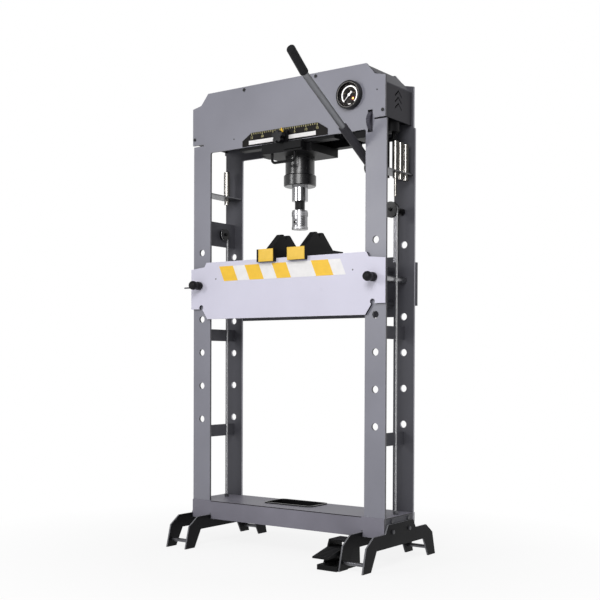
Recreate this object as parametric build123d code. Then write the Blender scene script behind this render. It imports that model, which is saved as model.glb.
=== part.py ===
from build123d import *
import os
from math import cos, pi, radians, sin

# Floor-standing hydraulic workshop press with an H-shaped frame, a pinned bed and a hand pump

# Frame of two flat portal plates, millimetres throughout
frame_width = 880.0
frame_depth = 204.0
plate_thickness = 8.0
column_width = 85.0
portal_height = 1523.0
beam_depth = 230.0
beam_shift = -6.0
beam_crown_inset = 78.0
beam_slope_inset = 42.0
beam_slope_drop = 42.0
beam_shoulder_drop = 51.0
relief_slot_rise = 33.0
relief_slot_width = 6.0
relief_slot_length = 50.0
portal_corner_radius = 6.0

# Base tray and feet
base_bottom = 100.0
base_height = 70.0
base_sheet = 4.0
base_bend_radius = 3.0
slot_clearance = 0.5
well_length = 210.0
well_width = 110.0
well_centre_x = -38.0
well_rear_margin = 14.0
well_depth = 45.0
well_wall = 3.0
well_rim_width = 8.0
well_rim_height = 4.0
well_corner_radius = 14.0
end_cover_thickness = 4.0
end_cover_clearance = 1.0
foot_thickness = 6.0
foot_reach = 150.0
foot_tip_width = 52.0
foot_knee_reach = 128.0
foot_knee_drop = 16.0
foot_bar_reach = 81.0
foot_bar_rise = 16.5
foot_bar_depth = 49.5
foot_arch_reach = 62.0
foot_tab_foot_reach = 3.0
foot_tab_inset = 16.0
foot_tab_rise = 47.0
foot_inner_offset = 3.0
skirt_notch_rise = 6.0
foot_rod_diameter = 14.0
foot_rod_reach = 120.0
foot_rod_height = 27.0
foot_bolt_inset = 45.0
foot_bolt_rise = 19.0
base_bolt_drop = 14.0
bolt_across_flats = 13.0
bolt_head_height = 5.0

# Pin holes in the columns
pin_diameter = 25.0
pin_hole_clearance = 0.5
hole_pitch = 130.0
lowest_hole_rise = 317.0
hole_top_margin = 380.0

# Beam cover, end plates, rails and screws
cover_sheet = 3.0
cover_drop = 8.0
cover_eave_inset = 8.0
cover_eave_drop = 70.0
cover_ridge_inset = 72.0
end_plate_sheet = 3.0
end_plate_rise = 40.0
chevron_half_width = 24.0
chevron_rise = 20.0
chevron_band = 7.0
chevron_pitch = 22.0
chevron_count = 3
chevron_inset = 36.0
rail_half_length = 217.0
rail_gap = 3.0
rail_height = 20.0
rail_drop = 11.0
screw_head_diameter = 12.0
screw_head_height = 3.0
top_screw_half_spacing = 165.0
top_screw_drop = 12.0
top_screw_shift = -23.0
end_screw_inset = 10.0
end_screw_rise = 59.0

# Column spacers, placed by the hole rows
spacer_thickness = 8.0
spacer_height = 46.0
spacer_row_shares = (-0.38, 2.54)
rope_plate_drop = 352.0
rope_plate_height = 95.0

# Bed, placed by the pin row
bed_thickness = 10.0
bed_side_clearance = 0.5
bed_overhang = 4.0
bed_top_rise = 89.0
bed_bottom_drop = 130.0
bed_deck_overlap = 11.0
bed_tab_step = 10.0
bed_tab_rise = 72.0
bed_tab_end_rise = 65.0
bed_tab_drop = 91.0
bed_belly_overlap = 7.0
bed_notch_overlap = 37.0
bed_notch_drop = 85.0
bed_notch_diameter = 20.0
bed_tube_diameter = 24.0
bed_tube_bore = 16.0
bed_tube_gap = 1.0
bed_low_tube_drop = 82.0
bed_high_tube_rise = 39.0
pin_tail = 18.0
pin_head = 50.0
grip_diameter = 34.0
grip_length = 56.0
grip_crown = 8.0
grip_nose_length = 32.0
grip_nose_radius = 14.0
grip_waist_diameter = 29.0
grip_collar_diameter = 32.0
grip_collar_length = 20.0
grip_edge_radius = 4.0
grip_clearance = 0.3

# V-blocks
vblock_half_spacing = 77.0
vblock_bar_width = 78.0
vblock_bar_height = 34.0
vblock_tail = 8.5
vblock_nose_thickness = 18.0
vblock_nose_drop = 13.0
left_nose_shift = 12.0
vblock_web_thickness = 25.0
vblock_web_height = 64.0
vblock_web_foot_half_length = 97.0
vblock_crown_half_length = 26.0
vblock_vee_half_width = 14.0
vblock_vee_depth = 20.0
vblock_face_thickness = 1.2
vblock_face_margin = 2.5

# Carriage, clamp and scale
slide_clearance = 0.3
carriage_thickness = 29.7
carriage_half_length = 113.0
carriage_side_gap = 6.0
tongue_half_length = 92.0
clamp_gap = 3.0
clamp_thickness = 12.0
clamp_rise = 8.3
clamp_tab_half_width = 26.0
clamp_tab_thickness = 8.0
clamp_tab_height = 40.0
clamp_pad_inner = 15.0
clamp_pad_thickness = 8.0
clamp_pad_margin = 8.0
clamp_screw_rise = 16.0
clamp_screw_diameter = 12.0
running_clearance = 0.05
knob_diameter = 48.0
knob_thickness = 22.0
knob_lobes = 5
knob_lobe_diameter = 17.0
knob_hub_diameter = 24.0
knob_hub_length = 7.0
knob_tab_gap = 1.5
pointer_thickness = 1.5
pointer_half_width = 9.0
pointer_seat = 5.0
pointer_height = 18.0
handle_bar_diameter = 10.0
handle_half_width = 52.0
handle_drop = 33.0
handle_bend_radius = 14.0
keeper_half_length = 75.0
keeper_thickness = 18.0
scale_thickness = 2.0
scale_half_length = 195.0
scale_crown_half_length = 152.0
scale_margin = 2.0
scale_side_height = 22.0
scale_height = 49.0

# Cylinder and ram
barrel_diameter = 110.0
barrel_bore = 82.0
barrel_cap = 10.0
barrel_above_carriage = 208.0
barrel_below_carriage = 92.0
gland_diameter = 122.0
gland_height = 42.0
gland_skirt = 23.0
gland_chamfer = 3.0
rod_diameter = 60.0
rod_reach = 55.0
piston_height = 20.0
piston_headroom = 20.0
stud_diameter = 38.0
stud_length = 35.0
head_diameter = 60.0
head_waist_diameter = 58.0
head_height = 71.0
head_rim_height = 9.0
head_band_height = 15.0
head_band_offset = 6.0
head_screw_diameter = 9.0
head_screw_depth = 6.0
head_screw_rise = 26.0
head_screw_turn = -10.0
head_flat_depth = 2.0
head_flat_width = 22.0
head_flat_height = 26.0

# Gauge
gauge_inset = 64.0
gauge_rise = 127.0
gauge_diameter = 100.0
gauge_depth = 20.0
gauge_bezel = 6.0
gauge_floor = 6.0
gauge_edge_radius = 3.0
gauge_stem_diameter = 30.0
gauge_stem_length = 22.0
gauge_hole_clearance = 0.5
dial_thickness = 1.0
dial_clearance = 0.3
needle_length = 34.0
needle_tail = 15.0
needle_width = 3.0
needle_tail_width = 7.0
needle_thickness = 1.2
needle_standoff = 2.5
needle_hub_diameter = 9.0
needle_shaft_diameter = 3.0
needle_turn = 225.0
glass_thickness = 2.0
glass_inset = 1.0

# Pump, lever and release wheel
lever_inset = 30.0
lever_pivot_y = -10.0
lever_pivot_drop = 117.0
lever_angle = 30.0
grip_angle = 38.0
lever_eye_diameter = 36.0
lever_eye_width = 30.0
lever_pin_diameter = 14.0
socket_diameter = 32.0
socket_length = 222.0
socket_bore_depth = 60.0
lever_tube_diameter = 23.0
lever_tube_end = 477.0
lever_fit = 0.3
lever_grip_diameter = 30.0
lever_grip_length = 106.0
lever_grip_start = 6.0
lever_grip_bore = 66.0
lever_grip_radius = 8.0
pump_width = 44.0
pump_setback = 24.0
pump_length = 60.0
pump_foot_drop = 26.0
pump_top_gap = 3.0
pump_web_height = 23.0
pump_ear_thickness = 6.0
pump_ear_reach = 20.0
valve_boss_width = 25.0
valve_boss_depth = 34.0
valve_boss_height = 54.0
reservoir_diameter = 56.0
reservoir_inset = 5.5
reservoir_y = 10.0
reservoir_rise = 5.0
reservoir_length = 110.0
reservoir_strap_width = 30.0
reservoir_strap_height = 24.0
reservoir_pipe_diameter = 14.0
reservoir_pipe_y = 26.0
reservoir_pipe_drop = 22.0
wheel_diameter = 70.0
wheel_thickness = 14.0
wheel_offset = 11.0
wheel_axis_depth = 8.0
wheel_rise = 27.0
wheel_slot_side = 3.0
wheel_slot_end = 4.0
spindle_diameter = 10.0
spindle_depth = 16.0

# Tool shelves, mandrels and lifting rope
shelf_sheet = 4.0
right_shelf_drop = 136.0
right_shelf_width = 70.0
left_shelf_drop = 154.0
left_shelf_width = 80.0
shelf_flange_width = 43.0
shelf_flange_below = 75.0
shelf_flange_above = 53.0
shelf_bolt_inset = 12.0
right_mandrel_offset = 20.5
right_mandrel_diameter = 24.0
right_mandrel_y_shares = (-0.05, 0.31, 0.71)
left_mandrel_diameter = 24.0
left_mandrel_y_shares = (0.51,)
mandrel_length = 105.0
mandrel_shank_length = 26.0
mandrel_shank_step = 2.0
long_shank_diameter = 10.0
long_shank_length = 91.0
mandrel_hole_clearance = 0.3
mandrel_chamfer = 2.0
rope_diameter = 6.0
rope_gap = 0.3
sheave_radius = 24.5
sheave_lip = 4.0
sheave_width = 14.0
sheave_inset = 8.0
sheave_y = 15.0
sheave_drop = 268.0
axle_diameter = 12.0
axle_boss_diameter = 24.0
axle_boss_length = 14.0
axle_tail = 6.0
drum_radius = 18.0
drum_y = 12.0
drum_stand = 8.0
anchor_diameter = 18.0
anchor_height = 12.0
lug_thickness = 8.0
lug_height = 26.0
lug_reach = 6.0
lift_strip_width = 19.0
lift_strip_thickness = 4.0
lift_strip_tuck = 20.0

# Foot pedal, measured forwards from its rear edge
pedal_setback = 10.0
pedal_width = 80.0
pedal_length = 150.0
pedal_floor_height = 18.0
pedal_cheek_thickness = 6.0
pedal_cheek_front = 112.0
pedal_hood_front = 78.0
pedal_hood_rear = 4.0
pedal_hood_top = 96.0
pedal_hood_thickness = 6.0
treadle_pivot_reach = 53.0
treadle_pivot_height = 62.0
treadle_pin_diameter = 10.0
treadle_tip = 190.0
treadle_bend = 103.0
treadle_rear = 36.0
treadle_half_thickness = 10.0
treadle_tip_thickness = 6.0
treadle_tip_drop = 20.0
treadle_side_clearance = 2.0

# One overrun serves every cut
overrun = 5.0

# Places that follow from the driving dimensions: frame
half_width = frame_width / 2
half_depth = frame_depth / 2
inner_half_depth = half_depth - plate_thickness
column_inner = half_width - column_width
column_centre = half_width - column_width / 2
frame_height = portal_height + beam_depth
beam_crown_half_width = half_width - beam_crown_inset
beam_slope_half_width = half_width - beam_slope_inset
beam_slope_height = frame_height - beam_slope_drop
beam_shoulder_height = frame_height - beam_shoulder_drop
relief_slot_height = portal_height + relief_slot_rise
cover_eave_half_width = half_width - cover_eave_inset
cover_eave_height = frame_height - cover_eave_drop
cover_ridge_half_width = half_width - cover_ridge_inset
end_plate_bottom = portal_height + end_plate_rise
chevron_bottom = end_plate_bottom + chevron_inset
rail_bottom = portal_height - rail_drop
rail_width = inner_half_depth - barrel_diameter / 2 - rail_gap
top_screw_height = frame_height - top_screw_drop
end_screw_half_spacing = half_width - end_screw_inset
end_screw_height = portal_height + end_screw_rise

# Base and feet
base_top = base_bottom + base_height
column_foot_height = base_bottom + base_sheet
skirt_y = half_depth + base_sheet
well_centre_y = half_depth - well_rear_margin - well_width / 2
foot_half_length = half_depth + foot_reach
foot_knee_half_length = half_depth + foot_knee_reach
foot_knee_height = base_bottom - foot_knee_drop
foot_bar_half_length = half_depth + foot_bar_reach
foot_bar_top = base_bottom + foot_bar_rise
foot_bar_bottom = foot_bar_top - foot_bar_depth
foot_arch_half_length = half_depth + foot_arch_reach
foot_tab_half_length = half_depth - foot_tab_inset
foot_tab_foot_half_length = half_depth + foot_tab_foot_reach
foot_tab_top = base_bottom + foot_tab_rise
foot_rod_half_spacing = half_depth + foot_rod_reach
foot_bolt_half_spacing = half_depth - foot_bolt_inset
foot_bolt_height = base_bottom + foot_bolt_rise
base_bolt_height = base_top - base_bolt_drop

# Carriage, cylinder and ram
carriage_top = rail_bottom - slide_clearance
carriage_bottom = carriage_top - carriage_thickness
carriage_half_width = inner_half_depth - carriage_side_gap
clamp_back_y = -half_depth - clamp_gap
clamp_front_y = clamp_back_y - clamp_thickness
clamp_top = carriage_top + clamp_rise
clamp_tab_top = clamp_top + clamp_tab_height
clamp_pad_bottom = carriage_bottom + clamp_pad_margin
clamp_screw_height = clamp_top + clamp_screw_rise
scale_bottom = portal_height + scale_margin
scale_side_top = scale_bottom + scale_side_height
scale_top = scale_bottom + scale_height
barrel_top = carriage_bottom + barrel_above_carriage
barrel_seat = carriage_bottom - barrel_below_carriage
gland_top = barrel_seat + gland_skirt
gland_bottom = gland_top - gland_height
rod_bottom = gland_bottom - rod_reach
piston_top = barrel_top - barrel_cap - piston_headroom
head_top = rod_bottom - stud_length
head_bottom = head_top - head_height
head_screw_height = head_bottom + head_screw_rise

# Pin rows, bed and spacers
hole_diameter = pin_diameter + 2 * pin_hole_clearance
lowest_hole_height = base_top + lowest_hole_rise
hole_rows = 1 + int((portal_height - hole_top_margin - lowest_hole_height) // hole_pitch)
vblock_stack = bed_top_rise + vblock_bar_height + vblock_web_height
pin_row = int((head_bottom - vblock_stack - lowest_hole_height) // hole_pitch)
pin_height = lowest_hole_height + pin_row * hole_pitch
bed_inner_y = half_depth + bed_side_clearance
bed_outer_y = bed_inner_y + bed_thickness
bed_half_length = half_width + bed_overhang
bed_top = pin_height + bed_top_rise
bed_bottom = pin_height - bed_bottom_drop
bed_deck_half_length = column_inner + bed_deck_overlap
bed_tab_top = pin_height + bed_tab_rise
bed_tab_end_top = pin_height + bed_tab_end_rise
bed_tab_bottom = pin_height - bed_tab_drop
bed_belly_half_length = column_inner + bed_belly_overlap
bed_notch_half_length = column_inner + bed_notch_overlap
bed_notch_height = pin_height - bed_notch_drop
bed_tube_half_spacing = column_inner - bed_tube_diameter / 2 - bed_tube_gap
bed_tube_heights = (pin_height - bed_low_tube_drop, pin_height + bed_high_tube_rise)
vblock_bar_tail = bed_outer_y + vblock_tail
spacer_bottoms = [lowest_hole_height + share * hole_pitch - spacer_height / 2 for share in spacer_row_shares]
rope_plate_bottom = portal_height - rope_plate_drop

# Gauge, pump, lever and release wheel
gauge_x = column_inner - gauge_inset
gauge_height = portal_height + gauge_rise
lever_x = column_inner - lever_inset
lever_pivot_height = portal_height - lever_pivot_drop
pump_front = lever_pivot_y + pump_setback
pump_bottom = lever_pivot_height - pump_foot_drop
pump_top = portal_height - pump_top_gap
pump_web_bottom = pump_top - pump_web_height
valve_boss_top = pump_top + valve_boss_height
reservoir_x = column_centre - reservoir_inset
reservoir_bottom = portal_height + reservoir_rise
reservoir_middle = reservoir_bottom + reservoir_length / 2
reservoir_pipe_height = reservoir_bottom - reservoir_pipe_drop
wheel_left = column_inner + wheel_offset
wheel_y = -inner_half_depth + wheel_axis_depth
wheel_height = portal_height + wheel_rise

# Shelves and rope
right_shelf_top = portal_height - right_shelf_drop
left_shelf_top = portal_height - left_shelf_drop
right_mandrel_x = column_centre + right_mandrel_offset
right_mandrel_ys = [share * inner_half_depth for share in right_mandrel_y_shares]
left_mandrel_ys = [share * inner_half_depth for share in left_mandrel_y_shares]
rope_radius = rope_diameter / 2
sheave_x = column_centre - sheave_inset
sheave_height = portal_height - sheave_drop
drum_height = rope_plate_bottom + rope_plate_height / 2

# Foot pedal
pedal_rear_y = -half_depth - pedal_setback
treadle_pivot_y = pedal_rear_y - treadle_pivot_reach

nodes = {}
fasteners = []
pivot_pins = []


def block(x_range, y_range, z_range):
    """A rectangular block between three pairs of limits."""
    ranges = (x_range, y_range, z_range)
    middle = [(low + high) / 2 for low, high in ranges]
    size = [high - low for low, high in ranges]
    return Pos(*middle) * Box(*size)


def bar(axis, centre, diameter, length):
    """A round bar about a point, along one of the three axes."""
    turns = {"x": Rot(0, 90, 0), "y": Rot(90, 0, 0), "z": Rot(0, 0, 0)}
    return Pos(*centre) * turns[axis] * Cylinder(diameter / 2, length)


def bar_between(axis, centre, diameter, start, end):
    """A round bar along one axis, from start to end on that axis; its other places come from centre."""
    place = list(centre)
    place["xyz".index(axis)] = (start + end) / 2
    return bar(axis, place, diameter, end - start)


def plate_xz(outline, y_front, thickness):
    """A flat upright plate that faces the front, from an outline of (x, z) points."""
    face = make_face(Polyline(*[(x, y_front, z) for x, z in outline], close=True))
    return extrude(face, amount=thickness, dir=(0, 1, 0))


def plate_yz(outline, x_left, thickness):
    """A flat upright plate that faces the side, from an outline of (y, z) points."""
    face = make_face(Polyline(*[(x_left, y, z) for y, z in outline], close=True))
    return extrude(face, amount=thickness, dir=(1, 0, 0))


def both_sides(half_outline):
    """A closed outline from its right half, listed from bottom to top."""
    return half_outline + [(-across, up) for across, up in reversed(half_outline)]


def group(*solids):
    """Several separate solids of one kind in one node."""
    return Compound(list(solids))


def hex_head(axis, face_centre, across_flats, height):
    """A hexagon bolt head that stands on a face, towards plus or minus the axis as height's sign says."""
    prism = extrude(RegularPolygon(across_flats / 2, 6, major_radius=False), amount=abs(height))
    turns = {"x": Rot(0, 90, 0) if height > 0 else Rot(0, -90, 0), "y": Rot(90, 0, 0)}
    return Pos(*face_centre) * turns[axis] * prism


# Frame plates
def portal_outline(slotted):
    """Outline of a frame plate: two columns and a beam with a stepped crown, with or without relief slots."""
    slot_bottom = relief_slot_height - relief_slot_width / 2
    slot_top = relief_slot_height + relief_slot_width / 2
    outline = []
    for side in (1, -1):
        half = [
            (side * column_inner, portal_height),
            (side * column_inner, column_foot_height),
            (side * half_width, column_foot_height),
            (side * half_width, slot_bottom),
        ]
        if slotted:
            half.append((side * (half_width - relief_slot_length), slot_bottom))
            half.append((side * (half_width - relief_slot_length), slot_top))
        half.append((beam_shift + side * half_width, slot_top if slotted else slot_bottom))
        half.append((beam_shift + side * half_width, beam_shoulder_height))
        half.append((beam_shift + side * beam_slope_half_width, beam_slope_height))
        half.append((beam_shift + side * beam_crown_half_width, frame_height))
        outline += half if side == 1 else reversed(half)
    return outline


def frame_plate(y_front, slotted):
    """One portal plate with its rows of pin holes."""
    plate = plate_xz(portal_outline(slotted), y_front, plate_thickness)
    for side in (-1, 1):
        for row in range(hole_rows):
            up = lowest_hole_height + row * hole_pitch
            place = (side * column_centre, y_front + plate_thickness / 2, up)
            plate -= bar("y", place, hole_diameter, plate_thickness + 2 * overrun)
    corners = plate.edges().filter_by(Axis.Y).filter_by_position(Axis.Z, portal_height - overrun,
                                                                 portal_height + overrun)
    return fillet(corners, portal_corner_radius)


def build_frame():
    """Portal plates, beam cover, end plates, rails, spacers and screws."""
    front = frame_plate(-half_depth, True)
    front_mid = -half_depth + plate_thickness / 2
    front -= bar("y", (gauge_x, front_mid, gauge_height),
                 gauge_stem_diameter + 2 * gauge_hole_clearance, plate_thickness + 2 * overrun)
    slot_reach = wheel_diameter / 2 + wheel_slot_end
    front -= block((wheel_left - wheel_slot_side, wheel_left + wheel_thickness + wheel_slot_side),
                   (-half_depth - overrun, -inner_half_depth + overrun),
                   (wheel_height - slot_reach, wheel_height + slot_reach))
    nodes["front_frame_plate"] = front
    nodes["rear_frame_plate"] = frame_plate(inner_half_depth, False)

    ridge = frame_height - cover_drop
    outer = both_sides([(cover_eave_half_width, cover_eave_height), (cover_ridge_half_width, ridge)])
    inner = both_sides([(cover_eave_half_width, cover_eave_height - cover_sheet),
                        (cover_ridge_half_width, ridge - cover_sheet)])
    sheet = [(beam_shift + across, up) for across, up in outer + list(reversed(inner))]
    nodes["beam_cover"] = plate_xz(sheet, -inner_half_depth, 2 * inner_half_depth)

    nodes["beam_end_plates"] = group(*[beam_end_plate(side) for side in (-1, 1)])

    rails = []
    for side in (-1, 1):
        ys = sorted((side * inner_half_depth, side * (inner_half_depth - rail_width)))
        rails.append(block((-rail_half_length, rail_half_length), ys,
                           (rail_bottom, rail_bottom + rail_height)))
    nodes["beam_rails"] = group(*rails)

    spacers = []
    for side in (-1, 1):
        xs = (side * column_centre - spacer_thickness / 2, side * column_centre + spacer_thickness / 2)
        for bottom in spacer_bottoms:
            spacers.append(block(xs, (-inner_half_depth, inner_half_depth), (bottom, bottom + spacer_height)))
    nodes["column_spacers"] = group(*spacers)

    screws = []
    for side in (-1, 1):
        for shift, across, up in ((top_screw_shift, top_screw_half_spacing, top_screw_height),
                                  (beam_shift, end_screw_half_spacing, end_screw_height)):
            screws.append(bar_between("y", (shift + side * across, 0, up), screw_head_diameter,
                                      -half_depth - screw_head_height, -half_depth))
    fasteners.extend(screws)


def beam_end_plate(side):
    """A dark plate that closes one end of the beam, pierced by a stack of chevrons."""
    outer_x = beam_shift + side * cover_eave_half_width
    x_left = outer_x - end_plate_sheet / 2 - side * end_plate_sheet / 2
    plate = block((x_left, x_left + end_plate_sheet), (-inner_half_depth, inner_half_depth),
                  (end_plate_bottom, cover_eave_height - cover_sheet))
    for step in range(chevron_count):
        low = chevron_bottom + step * chevron_pitch
        chevron = [(-chevron_half_width, low), (0, low + chevron_rise), (chevron_half_width, low),
                   (chevron_half_width, low + chevron_band), (0, low + chevron_rise + chevron_band),
                   (-chevron_half_width, low + chevron_band)]
        plate -= plate_yz(chevron, x_left - overrun, end_plate_sheet + 2 * overrun)
    return plate


# Base and feet
def build_base():
    """Folded base tray, black tool well, end covers, feet, foot rods and bolts."""
    tray = block((-half_width, half_width), (-skirt_y, skirt_y), (base_bottom, base_top))
    bends = tray.edges().filter_by(Axis.X).group_by(Axis.Z)[-1]
    tray = fillet(bends, base_bend_radius)
    tray -= block((-half_width - overrun, half_width + overrun), (-half_depth, half_depth),
                  (base_bottom - overrun, base_top - base_sheet))
    for side in (-1, 1):
        xs = sorted((side * (column_inner - slot_clearance), side * (half_width + overrun)))
        foot_x = side * (column_inner - foot_inner_offset - foot_thickness / 2)
        foot_xs = (foot_x - foot_thickness / 2 - slot_clearance, foot_x + foot_thickness / 2 + slot_clearance)
        for edge in (-1, 1):
            ys = sorted((edge * (inner_half_depth - slot_clearance), edge * half_depth))
            tray -= block(xs, ys, (base_bottom - overrun, base_top + overrun))
            ys = sorted((edge * (half_depth - overrun), edge * (skirt_y + overrun)))
            tray -= block(foot_xs, ys, (base_bottom - overrun, foot_bar_top + skirt_notch_rise))
    tray -= well_block(well_wall + slot_clearance, base_top - base_sheet - overrun, base_top + overrun)
    nodes["base_tray"] = tray

    well = well_block(well_wall, base_top - well_depth, base_top)
    well += well_block(well_rim_width, base_top, base_top + well_rim_height)
    well -= well_block(0, base_top - well_depth + well_wall, base_top + well_rim_height + overrun)
    nodes["base_tool_well"] = well

    covers = []
    for side in (-1, 1):
        xs = sorted((side * half_width, side * (half_width - end_cover_thickness)))
        reach = inner_half_depth - end_cover_clearance
        covers.append(block(xs, (-reach, reach), (base_bottom, base_top - base_sheet)))
    nodes["base_end_covers"] = group(*covers)

    for side, label in ((-1, "left"), (1, "right")):
        outer_x = min(side * half_width, side * (half_width + foot_thickness))
        inner_side = column_inner - foot_inner_offset
        inner_x = min(side * inner_side, side * (inner_side - foot_thickness))
        nodes[f"foot_plate_{label}_outer"] = plate_yz(foot_outline(), outer_x, foot_thickness)
        nodes[f"foot_plate_{label}_inner"] = plate_yz(foot_outline(), inner_x, foot_thickness)

    rods = []
    bolts = []
    for side in (-1, 1):
        for end in (-1, 1):
            near = side * (column_inner - foot_inner_offset)
            start, stop = sorted((near, side * half_width))
            rods.append(bar_between("x", (0, end * foot_rod_half_spacing, foot_rod_height),
                                    foot_rod_diameter, start, stop))
            for face, up in ((half_width + foot_thickness, foot_bolt_height), (half_width, base_bolt_height)):
                place = (side * face, end * foot_bolt_half_spacing, up)
                bolts.append(hex_head("x", place, bolt_across_flats, side * bolt_head_height))
    nodes["foot_rods"] = group(*rods)
    fasteners.extend(bolts)


def well_block(margin, bottom, top):
    """A block with rounded corners over the tool well's opening, wider all round by a margin."""
    solid = block((well_centre_x - well_length / 2 - margin, well_centre_x + well_length / 2 + margin),
                  (well_centre_y - well_width / 2 - margin, well_centre_y + well_width / 2 + margin),
                  (bottom, top))
    return fillet(solid.edges().filter_by(Axis.Z), well_corner_radius + margin)


def foot_outline():
    """Side view of a foot: two splayed legs, an arch between them and a raised middle tab."""
    return both_sides([
        (foot_arch_half_length, foot_bar_bottom),
        (foot_half_length - foot_tip_width, 0),
        (foot_half_length, 0),
        (foot_knee_half_length, foot_knee_height),
        (foot_bar_half_length, foot_bar_top),
        (foot_tab_foot_half_length, foot_bar_top),
        (foot_tab_half_length, foot_tab_top),
    ])


# Bed, pins and V-blocks
def bed_outline():
    """Front view of a bed plate: a deep middle, a relief beside each column and a narrower end tab."""
    return both_sides([
        (bed_belly_half_length, bed_bottom),
        (bed_notch_half_length, bed_notch_height),
        (bed_notch_half_length, bed_tab_bottom),
        (bed_half_length, bed_tab_bottom),
        (bed_half_length, bed_tab_end_top),
        (bed_deck_half_length + bed_tab_step, bed_tab_top),
        (bed_deck_half_length, bed_top),
    ])


def bed_plate(y_front):
    """One bed plate with its two pin holes and round corner reliefs."""
    plate = plate_xz(bed_outline(), y_front, bed_thickness)
    middle = y_front + bed_thickness / 2
    for side in (-1, 1):
        plate -= bar("y", (side * column_centre, middle, pin_height), hole_diameter,
                     bed_thickness + 2 * overrun)
        plate -= bar("y", (side * bed_notch_half_length, middle, bed_notch_height), bed_notch_diameter,
                     bed_thickness + 2 * overrun)
    return plate


def build_bed():
    """Bed plates, spacer tubes, locating pins and V-blocks."""
    nodes["bed_front_plate"] = bed_plate(-bed_outer_y)
    nodes["bed_rear_plate"] = bed_plate(bed_inner_y)
    tubes = []
    for side in (-1, 1):
        for up in bed_tube_heights:
            place = (side * bed_tube_half_spacing, 0, up)
            tube = bar_between("y", place, bed_tube_diameter, -bed_inner_y, bed_inner_y)
            tubes.append(tube - bar("y", place, bed_tube_bore, frame_depth + 2 * overrun))
    nodes["bed_spacer_tubes"] = group(*tubes)

    for side, label in ((-1, "left"), (1, "right")):
        place = (side * column_centre, 0, pin_height)
        nodes[f"bed_pin_{label}"] = bar_between("y", place, pin_diameter, -bed_outer_y - pin_head,
                                                bed_outer_y + pin_tail)
        nodes[f"bed_pin_grip_{label}"] = pin_grip(place)

    for side, label, shift in ((-1, "left", left_nose_shift), (1, "right", 0)):
        centre_x = side * vblock_half_spacing
        nodes[f"vblock_{label}"] = vblock(centre_x, centre_x + shift)
        half = vblock_bar_width / 2 - vblock_face_margin
        nose = -bed_outer_y - bed_side_clearance - vblock_nose_thickness
        nodes[f"vblock_face_{label}"] = block((centre_x + shift - half, centre_x + shift + half),
                                              (nose - vblock_face_thickness, nose),
                                              (bed_top - vblock_nose_drop + vblock_face_margin,
                                               bed_top + vblock_bar_height - vblock_face_margin))


def pin_grip(place):
    """A black grip with a round nose, a waist and a collar, pushed over the head of a bed pin."""
    front = -bed_outer_y - pin_head - grip_crown
    rear = front + grip_length
    nose = bar_between("y", place, grip_diameter, front, front + grip_nose_length)
    nose = fillet(nose.edges().filter_by(GeomType.CIRCLE), grip_nose_radius)
    waist = bar_between("y", place, grip_waist_diameter, front + grip_nose_length / 2,
                        rear - grip_collar_length / 2)
    collar = bar_between("y", place, grip_collar_diameter, rear - grip_collar_length, rear)
    collar = fillet(collar.edges().filter_by(GeomType.CIRCLE), grip_edge_radius)
    bore = bar_between("y", place, pin_diameter + 2 * grip_clearance, front + grip_crown, rear + overrun)
    return nose + waist + collar - bore


def vblock(centre_x, nose_x):
    """A V-block that lies across both bed plates: a bar with a front nose and a notched upright web."""
    xs = (centre_x - vblock_bar_width / 2, centre_x + vblock_bar_width / 2)
    nose_xs = (nose_x - vblock_bar_width / 2, nose_x + vblock_bar_width / 2)
    bar_top = bed_top + vblock_bar_height
    nose_back = -bed_outer_y - bed_side_clearance
    body = block(xs, (nose_back, vblock_bar_tail), (bed_top, bar_top))
    body += block(nose_xs, (nose_back - vblock_nose_thickness, nose_back),
                  (bed_top - vblock_nose_drop, bar_top))
    web_top = bar_top + vblock_web_height
    web = both_sides([(vblock_web_foot_half_length, bar_top), (vblock_crown_half_length, web_top),
                      (vblock_vee_half_width, web_top), (0, web_top - vblock_vee_depth)])
    web.pop(len(web) // 2)
    return body + plate_yz(web, centre_x - vblock_web_thickness / 2, vblock_web_thickness)


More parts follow.
